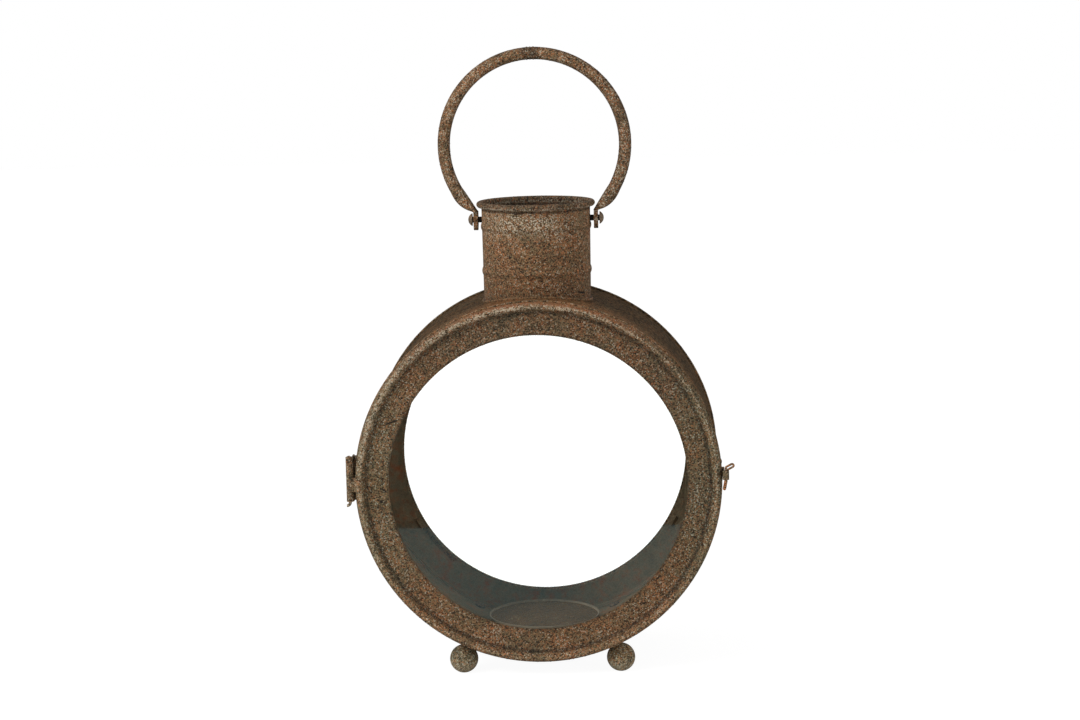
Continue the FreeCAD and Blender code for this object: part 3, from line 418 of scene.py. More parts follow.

# %% [markdown]
# The door was handled and rained on the most, so it changes most by place. Its sides are more
# olive. Its top, right side and inner edge are darker as painted shade, and so is the hollow
# beside the bead. The bead has a broken pale line, partly wear and partly a painted highlight,
# which is wider and brighter at the upper left and on the lit top. Outside the bead the rust is
# russet, stronger on the lit top as painted light, and the parts set back behind the face are
# darker as painted shade. Each of these is a mask, and the masks are laid one over the other.

# %% Colour the door by place
INNER_EDGE_SHADE = (opening_radius + 2.4 * MM, opening_radius + 0.8 * MM)
OUTSIDE_BEAD = (1.2 * MM, 3.2 * MM)
HOLLOW_RADIUS = bead_centre - 5.0 * MM
HOLLOW_HALF = 2.4 * MM
HOLLOW_WAVER = 1.5 * MM
RIDGE_HALF = 1.3 * MM
RIDGE_WIDENS = 1.9 * MM
RIDGE_WAVER = 2.4 * MM
BEHIND_FACE = (ring_low.y + 4.2 * MM, ring_low.y + 6.5 * MM)
print("the ridge of the bead is", round(bead_centre / MM, 1), "mm from the axis")


def door_face(rust, coat, distance, across, height):
    """Olive sides, and painted shade on the right side, the top and the inner edge."""
    coat = rust.finish.mix(abs(across).between(0.66, 0.86), coat, rust.tinted(coat, OLIVE_SHIFT))
    # Painted shade: the right side, the top and the inner edge of the door are darker.
    side_shade = across.between(0.3, 0.8) * 0.09
    top_shade = height.between(0.25, 0.85) * 0.18
    inner_edge_shade = distance.between(*INNER_EDGE_SHADE) * 0.28
    return rust.shaded(coat, 1 - top_shade - side_shade - inner_edge_shade)


def door_bead(rust, coat, distance, lit, upper_left):
    """Painted shade in the hollow, and a pale ridge, partly wear and partly a painted highlight."""
    hollow_shade = band_of(distance + (rust.blotch - 0.5) * HOLLOW_WAVER, HOLLOW_RADIUS, HOLLOW_HALF)
    # Painted shade in the hollow beside the bead, lighter on the lit top and at the upper left.
    coat = rust.shaded(coat, 1 - hollow_shade * (0.58 - lit * 0.1 - upper_left * 0.13))
    half = RIDGE_HALF + upper_left * RIDGE_WIDENS
    off = abs(distance + (rust.patch - 0.5) * RIDGE_WAVER - bead_centre)
    ridge_wear_and_highlight = off.between(half, half * 0.2)
    pale_patches = (rust.crumb[2] * 0.7 + rust.crumb[0] * 0.3 + rust.patch * 0.5).between(0.62, 1.05)
    # Painted highlight on the ridge; its pale line is broken by wear and brighter where lit.
    coat = rust.shaded(coat, 1 + ridge_wear_and_highlight * 0.25)
    return rust.finish.mix(ridge_wear_and_highlight * pale_patches * (0.15 + lit * 0.35 + upper_left * 0.3), coat, PALE)


def door_places(rust, coat):
    """All that changes on the door by place, from the broadest to the finest."""
    finish = rust.finish
    distance = drum_distance(rust)
    across = rust.point.part(0) / band_radius
    height = (rust.point.part(2) - axis_height) / band_radius
    upper_left = ((height - across) / 1.4).between(0.1, 0.9)
    lit = height.between(-0.5, 0.7)
    coat = door_face(rust, coat, distance, across, height)
    # Russet outside the bead, made stronger on the lit top as painted light.
    outer = (distance - bead_centre + rust.blotch * 2 * MM).between(*OUTSIDE_BEAD)
    middle = abs(across).between(0.75, 0.25)
    coat = finish.mix(outer * lit * middle * (0.1 + rust.crumb[1] * 0.5), coat, RUSSET)
    coat = door_bead(rust, coat, distance, lit, upper_left)
    # Painted shade: the parts of the door set back behind its face are darker.
    coat = rust.shaded(coat, 1 - rust.point.part(1).between(*BEHIND_FACE) * 0.35)
    for start, end in CRACKS.values():
        coat = finish.mix(crack(rust, start, end) * 0.9, coat, BLACK)
    return coat


# %% [markdown]
# The band of the drum is warm behind the door, and darker and greyer towards the back, above all
# on top. That darkening is partly a duller coat and partly painted shade. The band is seen at a
# low angle, so its mottling is coarser than that of the door, and it has hardly any gloss, because
# at such an angle a gloss would turn it grey. Its hems carry a broken pale line, partly wear and
# partly a painted highlight.

# %% Colour the drum by place
DRUM_BACK = colour(92, 74, 52)
MOTTLE = 3.2 * MM
DULL_AND_SHADE_DEPTHS = (-60 * MM, -16 * MM)
DULL_AND_SHADE_WAVER = 60 * MM
DULL_AND_SHADE_LEAN = 10 * MM
HEM_RADII = (band_radius + 0.5 * MM, band_radius + 1.3 * MM)
print("the band is", round(band_radius / MM, 1), "mm in radius, and its hems stand out")


def drum_places(rust, coat):
    """Warm in front, duller and in painted shade behind, with a coarse mottling and pale hems."""
    finish = rust.finish
    height = (rust.point.part(2) - axis_height) / band_radius
    coarse = finish.noise(rust.point, MOTTLE, 3.0, 0.75).between(0.34, 0.66)
    depth = rust.point.part(1) + (rust.patch - 0.5) * DULL_AND_SHADE_WAVER - height * DULL_AND_SHADE_LEAN
    # Darker and greyer behind and on top: partly a duller coat, partly painted shade.
    dull_and_shade = depth.between(*DULL_AND_SHADE_DEPTHS) * (0.55 + height.between(-0.2, 0.6) * 0.45)
    coat = finish.mix(dull_and_shade * 0.35, coat, DRUM_BACK)
    mottle = 0.3 + coarse * 1.1 + (rust.patch - 0.5) * 0.6
    coat = rust.shaded(coat, (1.03 - dull_and_shade * 0.43) * mottle)
    rusty = (1 - dull_and_shade) * (rust.patch + height * 0.15 + coarse * 0.4).between(0.65, 1.15)
    coat = finish.mix(rusty * 0.35, coat, RUSSET)
    # Pale hems: partly wear, partly a painted highlight.
    hem = drum_distance(rust).between(*HEM_RADII)
    pale_patches = hem * (rust.crumb[2] * 0.6 + rust.patch).between(0.8, 1.1)
    return finish.mix(pale_patches * 0.5, coat, PALE)


# %% [markdown]
# Inside, the band is a smoother and lighter brown with rust stains, because it was never rained
# on. Part of that lightness is painted light, which makes up for the little light that reaches the
# inside of the drum. It is the same sheet as the outside, so the finish tells the two apart by the
# distance from the drum's axis, and the rear ring by its depth.

# %% Colour the inside
# INSIDE is partly painted light: lighter to make up for the dim light inside the drum.
INSIDE = colour(138, 125, 101)
rear_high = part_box("rear_ring")[1]
BAND_SKIN = (band_radius - 0.2 * MM, band_radius - 0.6 * MM)
REAR_SKIN = (rear_high.y - 2.2 * MM, rear_high.y - 1.8 * MM)
print("the rear ring ends", round(rear_high.y / MM, 1), "mm behind the chimney's axis")


def lining(rust):
    """The colour of sheet that was never rained on, partly made lighter as painted light."""
    stain = (rust.patch * 0.6 + rust.blotch * 0.5 + rust.broad * 0.3).between(0.66, 0.92)
    coat = rust.finish.mix(stain * 0.75, INSIDE, RUSSET)
    flecks = (rust.blotch * 0.6 + rust.grain * 0.4 + rust.crumb[1] * 0.2).between(0.62, 0.82)
    coat = rust.finish.mix(flecks * 0.45, coat, RUSSET)
    spots = rust.broad * 0.5 + rust.patch * 0.7 + rust.blotch * 0.3 + rust.crumb[0] * 0.25
    return rust.shaded(coat, 0.02 + spots)


def band_places(rust, coat):
    """The drum's coat outside and the lining inside."""
    inner = drum_distance(rust).between(*BAND_SKIN)
    return rust.finish.mix(inner, drum_places(rust, coat), lining(rust))


def rear_places(rust, coat):
    """Plain rust on the back of the rear ring and the lining in front of it."""
    return rust.finish.mix(rust.point.part(1).between(*REAR_SKIN), lining(rust), coat)


def lining_only(rust, coat):
    """The lining in place of the coat."""
    return lining(rust)


# %% [markdown]
# The chimney is a warmer brown than the door and the drum. Pale crumbs gather in a cloud below its
# rim. The rolled rim is dark, with pale spots of painted highlight along its lower edge, and a thin
# shadow lies under each of the two lines that were pressed round the sheet to stiffen it. Both
# flanks of the tube are a little lighter than its middle, as painted light.

# %% Colour the chimney by place
PALE_ACROSS, PALE_DROP = -8 * MM, 17 * MM
PALE_HALF_WIDTH, PALE_HALF_HEIGHT = 52 * MM, 15 * MM
PALE_WAVERS = (30 * MM, 16 * MM)
SWAGE_SHADOW_DROPS = (21.2 * MM, 57.0 * MM)
SWAGE_HALF = 1.6 * MM
RIM_DROPS = (5.4 * MM, 4.2 * MM)
LOW_RIM_DROP, LOW_RIM_HALF = 4.2 * MM, 1.6 * MM
UNDER_RIM_DROP, UNDER_RIM_HALF = 6.4 * MM, 1.5 * MM
TUBE_SKIN = (tube_radius - 0.35 * MM, tube_radius - 0.7 * MM)
print("the chimney's tube is", round(tube_radius / MM, 1), "mm in radius")


def pale_cloud(rust, coat, across, drop):
    """Pale crumbs below the rim, most of them a little left of the middle."""
    waver_across, waver_drop = ((rust.patch - 0.5) * waver for waver in PALE_WAVERS)
    near_middle = band_of(across + waver_across, PALE_ACROSS, PALE_HALF_WIDTH)
    near_drop = band_of(drop - waver_drop, PALE_DROP, PALE_HALF_HEIGHT)
    chance = (rust.crumb[2] * 0.9 + rust.blotch * 0.2).between(0.68, 0.84)
    return rust.finish.mix(near_middle * near_drop * chance * 0.9, coat, PALE)


def chimney_rim(rust, coat, drop):
    """A dark rolled rim, pale spots of painted highlight on its lower edge, a shadow below it."""
    rim = drop.between(*RIM_DROPS)
    low_rim_highlight = band_of(drop, LOW_RIM_DROP, LOW_RIM_HALF)
    grey = (rust.crumb[2] * 0.8 + rust.patch * 0.5).between(0.66, 0.82)
    coat = rust.shaded(coat, 1 - rim * (0.64 - rust.crumb[0] * 0.4))
    # Painted highlight: pale spots along the lower edge of the rim.
    coat = rust.finish.mix((rim * 0.12 + low_rim_highlight * 0.6) * grey, coat, PALE)
    return rust.shaded(coat, 1 - band_of(drop, UNDER_RIM_DROP, UNDER_RIM_HALF) * 0.5)


# %% [markdown]
# Low on the right of the chimney the seam lifted from the solder and left a small gap. Its dark
# notch is painted shade: a short slanting stroke round one place, made of two masks. The soot
# inside is darkest just below the rim.

# %% Add the notch and the soot
NOTCH_PLACE = Vector((36.5, -24.6, 0.0)) * MM
NOTCH_HEIGHT, NOTCH_HALF = 1.8 * MM, 1.2 * MM
NOTCH_SLANT = 0.35
NOTCH_REACH = (5.0 * MM, 3.4 * MM)
SOOT_DROPS = (1 * MM, 5 * MM)


def chimney_gap_shade(rust, coat, across, drop):
    """Painted shade of the small gap at the foot of the chimney, as a dark stroke."""
    x_off, y_off = across - NOTCH_PLACE.x, rust.point.part(1) - NOTCH_PLACE.y
    near = ((x_off * x_off + y_off * y_off) ** 0.5).between(*NOTCH_REACH)
    foot_drop = chimney_high.z - axis_height - band_radius
    stroke = band_of(foot_drop - drop + x_off * NOTCH_SLANT, NOTCH_HEIGHT, NOTCH_HALF)
    return rust.finish.mix(near * stroke * 0.95, coat, BLACK)


def chimney_places(rust, coat):
    """All that changes on the chimney by place. Drop is the depth below its top."""
    across = rust.point.part(0)
    drop = chimney_high.z - rust.point.part(2)
    # Painted light: both flanks of the tube are a little lighter than its middle.
    coat = rust.shaded(coat, 0.965 + abs(across / tube_radius).between(0.3, 0.95) * 0.1)
    coat = pale_cloud(rust, coat, across, drop)
    for swage_drop in SWAGE_SHADOW_DROPS:
        coat = rust.shaded(coat, 1 - band_of(drop, swage_drop, SWAGE_HALF) * 0.16)
    coat = chimney_rim(rust, coat, drop)
    coat = chimney_gap_shade(rust, coat, across, drop)
    soot = chimney_distance(rust).between(*TUBE_SKIN) * drop.between(*SOOT_DROPS)
    return rust.shaded(coat, 1 - soot * 0.48)


# %% [markdown]
# The solder round the chimney's foot is the same rust with fewer pale crumbs. A dark line of
# painted shade lies along its upper edge, in the crease where it meets the tube.

# %% Colour the solder
SOLDER_EDGE = (foot_radius + 1.2 * MM, foot_radius + 0.4 * MM)


def solder_places(rust, coat):
    """Painted shade: a dark line where the solder meets the tube."""
    return rust.shaded(coat, 1 - chimney_distance(rust).between(*SOLDER_EDGE) * 0.6)


# %% [markdown]
# The handle was bent from one tube and its ends meet at the top under a rough weld, which rusted
# darker. Its front and back are a little lighter than its inner and outer sides, and its right
# side is a little darker: painted light and shade that make the tube look round in even light.
# The ball feet are more olive, and pale underneath as painted light from the floor below.

# %% Colour the handle and the feet by place
handle_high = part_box("handle")[1]
WELD_HALF_WIDTH = 9.0 * MM
WELD_MIDDLE = -2 * MM
WELD_WAVER = 14 * MM
WELD_HEIGHTS = (handle_high.z - 30 * MM, handle_high.z - 20 * MM)
LEFT_PART = (-30 * MM, -58 * MM)
LOWER_PART = (chimney_high.z + 45 * MM, chimney_high.z)
FOOT_HEIGHTS = (16 * MM, 2 * MM)
print("the handle's top is at", round(handle_high.z / MM, 1), "mm")


def handle_places(rust, coat):
    """A dark weld, painted light and shade, and pale streaks on the left and lower right."""
    across, height = rust.point.part(0), rust.point.part(2)
    off = abs(across - WELD_MIDDLE + (rust.patch - 0.5) * WELD_WAVER)
    weld = off.between(WELD_HALF_WIDTH, WELD_HALF_WIDTH * 0.5) * height.between(*WELD_HEIGHTS)
    # Painted light and shade: front and back lighter, the right side darker, to round the tube.
    front_back_light = abs(rust.point.part(1) / handle_high.y).between(0.25, 0.9)
    right_shade = (across / handle_high.x).between(0.2, 0.8) * 0.12
    tone = 0.7 + front_back_light * 0.36 + (rust.patch - 0.5) * 0.5
    coat = rust.shaded(coat, tone * (1 - weld * 0.5) - right_shade)
    left = across.between(*LEFT_PART)
    lower_right = height.between(*LOWER_PART) * (1 - left)
    streak = (rust.patch * 0.6 + rust.crumb[2] * 0.5).between(0.6, 0.88)
    return rust.finish.mix(streak * (0.28 + left * 0.25 + lower_right * 0.25), coat, PALE)


def foot_places(rust, coat):
    """A blotchy olive coat, pale underneath as painted light from the floor."""
    coat = rust.tinted(coat, OLIVE_SHIFT)
    coat = rust.shaded(coat, 0.2 + rust.blotch * 0.8 + rust.patch * 0.8)
    # Painted light: the underside is paler, as if lit by the floor below.
    low = rust.point.part(2).between(*FOOT_HEIGHTS)
    pale_patches = low * (rust.crumb[2] * 0.6 + rust.patch * 0.7).between(0.45, 0.85)
    return rust.finish.mix(pale_patches * 0.5, coat, PALE)


# %% [markdown]
# The glass has to show the white studio behind the lantern and a faint reflection of the floor in
# front of it. A clear shader mixed with a mirror does that and lets the light through, where true
# refraction would leave the drum dark. The share of mirror is small straight on and rises with the
# fifth power of how slanted the view is. Layer Weight's Facing output is the same from both sides
# of a face, so the back of the pane doesn't turn into a full mirror.

# %% Build the glass
STRAIGHT_ON = 0.042
FILM = 45 * MM
GLASS_TINT = (0.99, 0.995, 0.99, 1.0)
PURE_WHITE = (1.0, 1.0, 1.0, 1.0)
MIRROR_ROUGHNESS = 0.015


def clear_glass():
    """A pane that is clear straight on and mirrors at a low angle."""
    finish = Finish("window_glass")
    slant = finish.add("ShaderNodeLayerWeight", {}, [0.5], "Facing")
    film = finish.noise(finish.position(), FILM, 3.0)
    share = (STRAIGHT_ON + slant ** 5.0 * (1 - STRAIGHT_ON)) * (0.85 + film * 0.3)
    through = finish.add("ShaderNodeBsdfTransparent", {}, [GLASS_TINT])
    mirror = finish.add("ShaderNodeBsdfGlossy", {}, {
        "Color": PURE_WHITE, "Roughness": MIRROR_ROUGHNESS})
    return finish.close(finish.add("ShaderNodeMixShader", {}, [share, through, mirror]))


# %% [markdown]
# Pins and screws are plain steel gone nearly black. The domed heads outside the handle rusted like
# the sheet, and only the shanks beside them stayed dark.

# %% Build the dark steel
STEEL = colour(36, 32, 28)
STEEL_RUST = colour(84, 60, 42)
HEAD_DARK = colour(62, 46, 34)
HEAD_PALE = colour(142, 116, 88)
pin_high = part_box("right_handle_pin")[1]
HEAD_REACH = (pin_high.x - 4.2 * MM, pin_high.x - 3.4 * MM)
STEEL_GRAIN, STEEL_PATCH = 0.8 * MM, 2.4 * MM
STEEL_RELIEF = 0.35 * MM
print("the pins reach", round(pin_high.x / MM, 1), "mm to each side")


def dark_steel():
    """Blackened steel with rusted heads."""
    finish = Finish("blackened_steel")
    point = finish.position()
    grain = finish.noise(point, STEEL_GRAIN, 3.0)
    patches = finish.noise(point, STEEL_PATCH, 3.0)
    distance, random = finish.cells(point, CRUMB)
    head = abs(point.part(0)).between(*HEAD_REACH)
    tint = finish.mix(patches.between(0.5, 0.7) * 0.6, STEEL, STEEL_RUST)
    tint = finish.mix(head * 0.9, tint, finish.mix(random[0], HEAD_DARK, HEAD_PALE))
    height = grain + (0.7 - distance) * 0.5
    normal = finish.add("ShaderNodeBump", {}, {
        "Height": height, "Distance": STEEL_RELIEF, "Strength": 0.6})
    return finish.surface({
        "Base Color": tint, "Roughness": 0.45 + grain * 0.25, "Metallic": 0.3 * (1 - head),
        "Normal": normal})


# %% [markdown]
# The candle plate is a shallow dish of sooty sheet. Its standing rim shows as a thin pale line.

# %% Colour the candle plate
EARTH_SHIFT = (0.94, 0.92, 0.6)
plate_low, plate_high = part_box("candle_plate")
plate_radius = (plate_high.x - plate_low.x) / 2
PLATE_RIM = (plate_radius - 1.4 * MM, plate_radius - 0.8 * MM)
print("the candle plate is", round(plate_radius / MM, 1), "mm in radius")


def plate_places(rust, coat):
    """An earthy coat with a pale rim."""
    coat = rust.tinted(coat, EARTH_SHIFT)
    coat = rust.shaded(coat, 0.6 + rust.patch * 0.4 + rust.blotch * 0.4)
    rim = chimney_distance(rust).between(*PLATE_RIM)
    return rust.finish.mix(rim * (0.35 + rust.blotch * 0.3), coat, PALE)


# %% [markdown]
# The record says which finish each node has. A few nodes share a slot with others but sit where
# the rust is different, such as the rear ring, which is half inside, so they get one of their own.
# Reddest of all is the latch, a thin wire that rusted through its skin.

# %% Give every node its finish
FINISHES = {
    "rusted_drum": rusted(
        "drum_rust", warmth=0.45, pale=0.0, places=band_places, coarse=0.8, gloss=0.02),
    "rusted_door": rusted("door_rust", tone=0.92, warmth=0.52, pale=0.08, places=door_places),
    "rusted_chimney": rusted(
        "chimney_rust", tone=0.88, warmth=0.58, pale=0.06, places=chimney_places),
    "rusted_handle": rusted("handle_rust", tone=0.9, warmth=0.62, pale=0.12, places=handle_places),
    "rusted_foot": rusted("foot_rust", tone=1.1, warmth=0.4, pale=0.14, places=foot_places),
    "rusted_hinge": rusted("hinge_rust", tone=0.95, warmth=0.4),
    "rusted_wire": rusted("wire_rust", tone=1.1, warmth=1.0, pale=0.05),
    "sooty_sheet": rusted(
        "sooty_rust", tone=0.7, warmth=0.9, pale=0.0, places=plate_places, coarse=0.4),
    "dark_steel": dark_steel(),
    "clear_glass": clear_glass(),
}
OWN_FINISHES = {
    "rear_ring": rusted("rear_ring_rust", tone=0.9, warmth=0.45, pale=0.04, places=rear_places),
    "rear_glass_tabs": rusted("lining_rust", pale=0.0, places=lining_only),
    "door_glass_tabs": rusted("tab_rust", tone=0.9, warmth=0.45, pale=0.05),
}
SOLDER_RUST = rusted("solder_rust", tone=0.85, warmth=0.55, pale=0.0, places=solder_places)
slot_of = {entry["node"]: entry["material_slot"] for entry in frame["record"]["subparts"]}
for node_name, piece in nodes.items():
    piece.data.materials.clear()
    piece.data.materials.append(OWN_FINISHES.get(node_name, FINISHES[slot_of[node_name]]))
print(len(nodes), "nodes have a finish")

# %% [markdown]
# Solder, weld and rust scale are made by Geometry Nodes. The class below opens a tree with named
# inputs and, at the end, turns its result into a plain mesh, because the export keeps only those.

# %% Run a Geometry Nodes tree
class Recipe(Plan):
    """A Geometry Nodes tree with named inputs."""

    def __init__(self, name):
        super().__init__(bpy.data.node_groups.new(name, "GeometryNodeTree"))
        self.start = self.add_node("NodeGroupInput", {}, [])
        self.tree.interface.new_socket(
            name="Geometry", in_out="INPUT", socket_type="NodeSocketGeometry")
        self.tree.interface.new_socket(
            name="Geometry", in_out="OUTPUT", socket_type="NodeSocketGeometry")
        self.sizes = {}

    def geometry(self):
        """The mesh that the tree starts from."""
        return Signal(self, self.start.outputs[0])

    def size(self, name, value):
        """A named number of the tree."""
        socket = self.tree.interface.new_socket(
            name=name, in_out="INPUT", socket_type="NodeSocketFloat")
        self.sizes[socket.identifier] = value
        return Signal(self, self.start.outputs[len(self.sizes)])

    def position(self):
        """Where a point of the geometry is, in metres."""
        return self.add("GeometryNodeInputPosition", {}, [])

    def make(self, name, result, material, body, slot, mesh=None):
        """End the tree, run it on a mesh and keep the result as a piece that rides on a body."""
        smooth = self.add("GeometryNodeSetShadeSmooth", {}, {0: result, 2: True})
        realized = self.add("GeometryNodeRealizeInstances", {}, [smooth])
        dressed = self.add("GeometryNodeSetMaterial", {}, {0: realized, 2: material})
        self.add_node("NodeGroupOutput", {}, [dressed])
        carrier = bpy.data.objects.new(name + "_carrier", mesh or bpy.data.meshes.new(name))
        bpy.context.scene.collection.objects.link(carrier)
        modifier = carrier.modifiers.new("recipe", "NODES")
        modifier.node_group = self.tree
        for identifier, value in self.sizes.items():
            modifier[identifier] = value
        evaluated = carrier.evaluated_get(bpy.context.evaluated_depsgraph_get())
        plain = bpy.data.meshes.new_from_object(evaluated)
        bpy.data.objects.remove(carrier)
        plain.name = name
        piece = bpy.data.objects.new(name, plain)
        bpy.context.scene.collection.objects.link(piece)
        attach(piece, body)
        print(name, "has", len(plain.polygons), "faces")


# %% [markdown]
# A bead of solder runs round the chimney's foot, where the tube meets the curved band. The path is
# a circle, lifted at every point to the height of the drum, and the bead is a small circle carried
# along it. Noise makes it swell and shrink as hand-laid solder does.

# %% Lay the solder round the chimney
SOLDER_STEPS, SOLDER_SIDES = 260, 12
SOLDER_SWELL, SOLDER_LUMP = 9 * MM, 3.2 * MM

solder = Recipe("solder_bead")
bead_size = solder.size("Bead radius", 1.4 * MM)
path_radius = solder.size("Path radius", foot_radius + 0.3 * MM)
drum_size = solder.size("Drum radius", band_radius + 0.5 * MM)
lumps = solder.size("Lumps", 0.8 * MM)
circle = solder.add("GeometryNodeCurvePrimitiveCircle", {}, {
    "Resolution": SOLDER_STEPS, "Radius": path_radius})
point = solder.position()
lift = (drum_size * drum_size - point.part(0) * point.part(0)) ** 0.5 + axis_height
lifted = solder.add("ShaderNodeCombineXYZ", {}, [point.part(0), point.part(1), lift])
path = solder.add("GeometryNodeSetPosition", {}, {"Geometry": circle, "Position": lifted})
profile = solder.add("GeometryNodeCurvePrimitiveCircle", {}, {
    "Resolution": SOLDER_SIDES, "Radius": bead_size})
swell = 0.72 + solder.noise(solder.position(), SOLDER_SWELL, 2.0) * 0.56
rope = solder.add("GeometryNodeCurveToMesh", {}, [path, profile, swell, False])
outward = solder.add("GeometryNodeInputNormal", {}, [])
push = (solder.noise(solder.position(), SOLDER_LUMP, 3.0) - 0.5) * lumps
shift = solder.add("ShaderNodeVectorMath", {"operation": "SCALE"}, {0: outward, "Scale": push})
rough = solder.add("GeometryNodeSetPosition", {}, {"Geometry": rope, "Offset": shift})
solder.make("chimney_solder", rough, SOLDER_RUST, "lantern", "rusted_chimney")

# %% [markdown]
# The weld on top of the handle is a collar of three short lumpy beads round the tube. It is the
# same idea as the solder: a path, a profile and noise. The path is drawn flat by its node, so it
# is stood up round the tube by giving each point a new place.

# %% Weld the handle's top
TUBE_RADIUS = 5.0 * MM
WELD_BEADS = 3
WELD_SPACING = 2.6 * MM
WELD_STEPS, WELD_SIDES = 48, 10
WELD_LUMP = 3.5 * MM


def weld_bead(index):
    """One bead of weld round the tube of the handle."""
    weld = Recipe(f"weld_bead_{index}")
    size = weld.size("Bead radius", 1.1 * MM)
    reach = weld.size("Path radius", TUBE_RADIUS - 0.8 * MM)
    offset = weld.size("Place along the handle", WELD_MIDDLE + (index - 1) * WELD_SPACING)
    ring = weld.add("GeometryNodeCurvePrimitiveCircle", {}, {
        "Resolution": WELD_STEPS, "Radius": reach})
    place = weld.position()
    level = place.part(0) + (handle_high.z - TUBE_RADIUS)
    upright = weld.add("ShaderNodeCombineXYZ", {}, [offset, place.part(1), level])
    loop = weld.add("GeometryNodeSetPosition", {}, {"Geometry": ring, "Position": upright})
    section = weld.add("GeometryNodeCurvePrimitiveCircle", {}, {
        "Resolution": WELD_SIDES, "Radius": size})
    swelling = 0.55 + weld.noise(weld.position(), WELD_LUMP, 3.0) * 0.9
    tube = weld.add("GeometryNodeCurveToMesh", {}, [loop, section, swelling, False])
    weld.make(f"handle_weld_{index}", tube, FINISHES["rusted_handle"], "bail", "rusted_handle")


for bead_index in range(WELD_BEADS):
    weld_bead(bead_index)

# %% [markdown]
# A narrow lip of sheet stands on the back of the door and reaches a few millimetres into the drum.
# It keeps wind and light out of the gap round the door. It is a plain ring of sheet, so its four
# corners are carried round the axis and joined with faces.

# %% Make the lip behind the door
LIP_OUT, LIP_IN = 143.0 * MM, 142.4 * MM
LIP_ROOT, LIP_END = -69.0 * MM, -66.0 * MM
LIP_STEPS = 144


def door_lip():
    """A thin ring of sheet on the back of the door."""
    corners = [(LIP_OUT, LIP_ROOT), (LIP_OUT, LIP_END), (LIP_IN, LIP_END), (LIP_IN, LIP_ROOT)]
    work = bmesh.new()
    loops = []
    for step in range(LIP_STEPS):
        angle = math.tau * step / LIP_STEPS
        loops.append([
            work.verts.new((reach * math.cos(angle), depth, axis_height + reach * math.sin(angle)))
            for reach, depth in corners])
    for step, loop in enumerate(loops):
        following = loops[(step + 1) % LIP_STEPS]
        for index in range(len(corners)):
            across = (index + 1) % len(corners)
            work.faces.new((loop[index], loop[across], following[across], following[index]))
    bmesh.ops.recalc_face_normals(work, faces=work.faces)
    mesh = bpy.data.meshes.new("door_lip")
    work.to_mesh(mesh)
    work.free()
    lip = bpy.data.objects.new("door_lip", mesh)
    lip.data.materials.append(FINISHES["rusted_door"])
    bpy.context.scene.collection.objects.link(lip)
    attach(lip, "door")
    print("door_lip has", len(mesh.polygons), "faces")


door_lip()

# %% [markdown]
# Rust scale stands up from the sheet in small flakes. They are scattered over the outer faces with
# a fixed seed, turned to the surface and pressed half into it. Real geometry matters here, because
# the flakes also break up the clean outline of the metal.

# %% Grow scale on a node
FLAKE = 0.5 * MM
SMALLEST_FLAKE, LARGEST_FLAKE = 0.35, 1.1
FLATNESS = 0.5
MERGE_DISTANCE = 0.001 * MM
SQUARE_CM_PER_SQUARE_M = 10000.0


def merged_copy(node_name):
    """The node's mesh with its loose triangles joined."""
    mesh = nodes[node_name].data.copy()
    work = bmesh.new()
    work.from_mesh(mesh)
    bmesh.ops.remove_doubles(work, verts=work.verts, dist=MERGE_DISTANCE)
    work.to_mesh(mesh)
    work.free()
    return mesh


def scale_over(name, node_name, body, slot, per_square_cm, seed, keep):
    """Flakes over the faces of one node, where keep says so."""
    flakes = Recipe(name + "_recipe")
    density = flakes.size("Flakes per square metre", per_square_cm * SQUARE_CM_PER_SQUARE_M)
    small = flakes.size("Smallest flake", SMALLEST_FLAKE)
    large = flakes.size("Largest flake", LARGEST_FLAKE)
    size = flakes.size("Flake radius", FLAKE)
    kept = keep(flakes)
    points = flakes.add_node("GeometryNodeDistributePointsOnFaces", {}, {
        "Mesh": flakes.geometry(), "Selection": kept, "Density": density, "Seed": seed})
    ball = flakes.add("GeometryNodeMeshIcoSphere", {}, {"Radius": size, "Subdivisions": 1})
    scale = flakes.add("FunctionNodeRandomValue", {"data_type": "FLOAT"}, {
        2: small, 3: large, "Seed": seed}, 1)
    flat = flakes.add("ShaderNodeCombineXYZ", {}, [scale, scale, scale * FLATNESS])
    placed = flakes.add("GeometryNodeInstanceOnPoints", {}, {
        "Points": Signal(flakes, points.outputs["Points"]), "Instance": ball,
        "Rotation": Signal(flakes, points.outputs["Rotation"]), "Scale": flat})
    flakes.make(name, placed, FINISHES[slot], body, slot, merged_copy(node_name))


# %% [markdown]
# One short function for each sheet says where its scale grows. It keeps clear of whatever moves or
# rubs: the hinge and the latch, the strap, the handle's pins and its flattened ends. The drum gets
# fewer flakes than the rest, because it is seen at a low angle, where flakes crowd together.

# %% Scatter rust scale
SKIN = 0.2 * MM
HINGE_CLEAR = 30 * MM
FACE_DEPTH = 5.4 * MM
STRAP_CLEAR = 2 * MM
PIN_CLEAR = 3 * MM
TAB_CLEAR = 12 * MM


def outside_drum(plan):
    """The outer face of the band, clear of the hinge and the latch."""
    place = plan.position()
    x, z = place.part(0), place.part(2) - axis_height
    return ((x * x + z * z) ** 0.5).above(band_radius - SKIN) * abs(z).above(HINGE_CLEAR)


def front_of_door(plan):
    """The face and bead of the door, clear of the hinge strap."""
    place = plan.position()
    clear = place.part(0).above(STRAP_CLEAR - bead_centre)
    return place.part(1).below(ring_low.y + FACE_DEPTH) * clear


def outside_chimney(plan):
    """The outer face of the chimney, clear of the handle's pins and sweep."""
    place = plan.position()
    x, y = place.part(0), place.part(1)
    outer = ((x * x + y * y) ** 0.5).above(foot_radius - SKIN)
    return outer * abs(x).below(tube_radius - PIN_CLEAR)


def upper_handle(plan):
    """The tube of the handle, well above its flattened ends."""
    return plan.position().part(2).above(chimney_high.z + TAB_CLEAR)


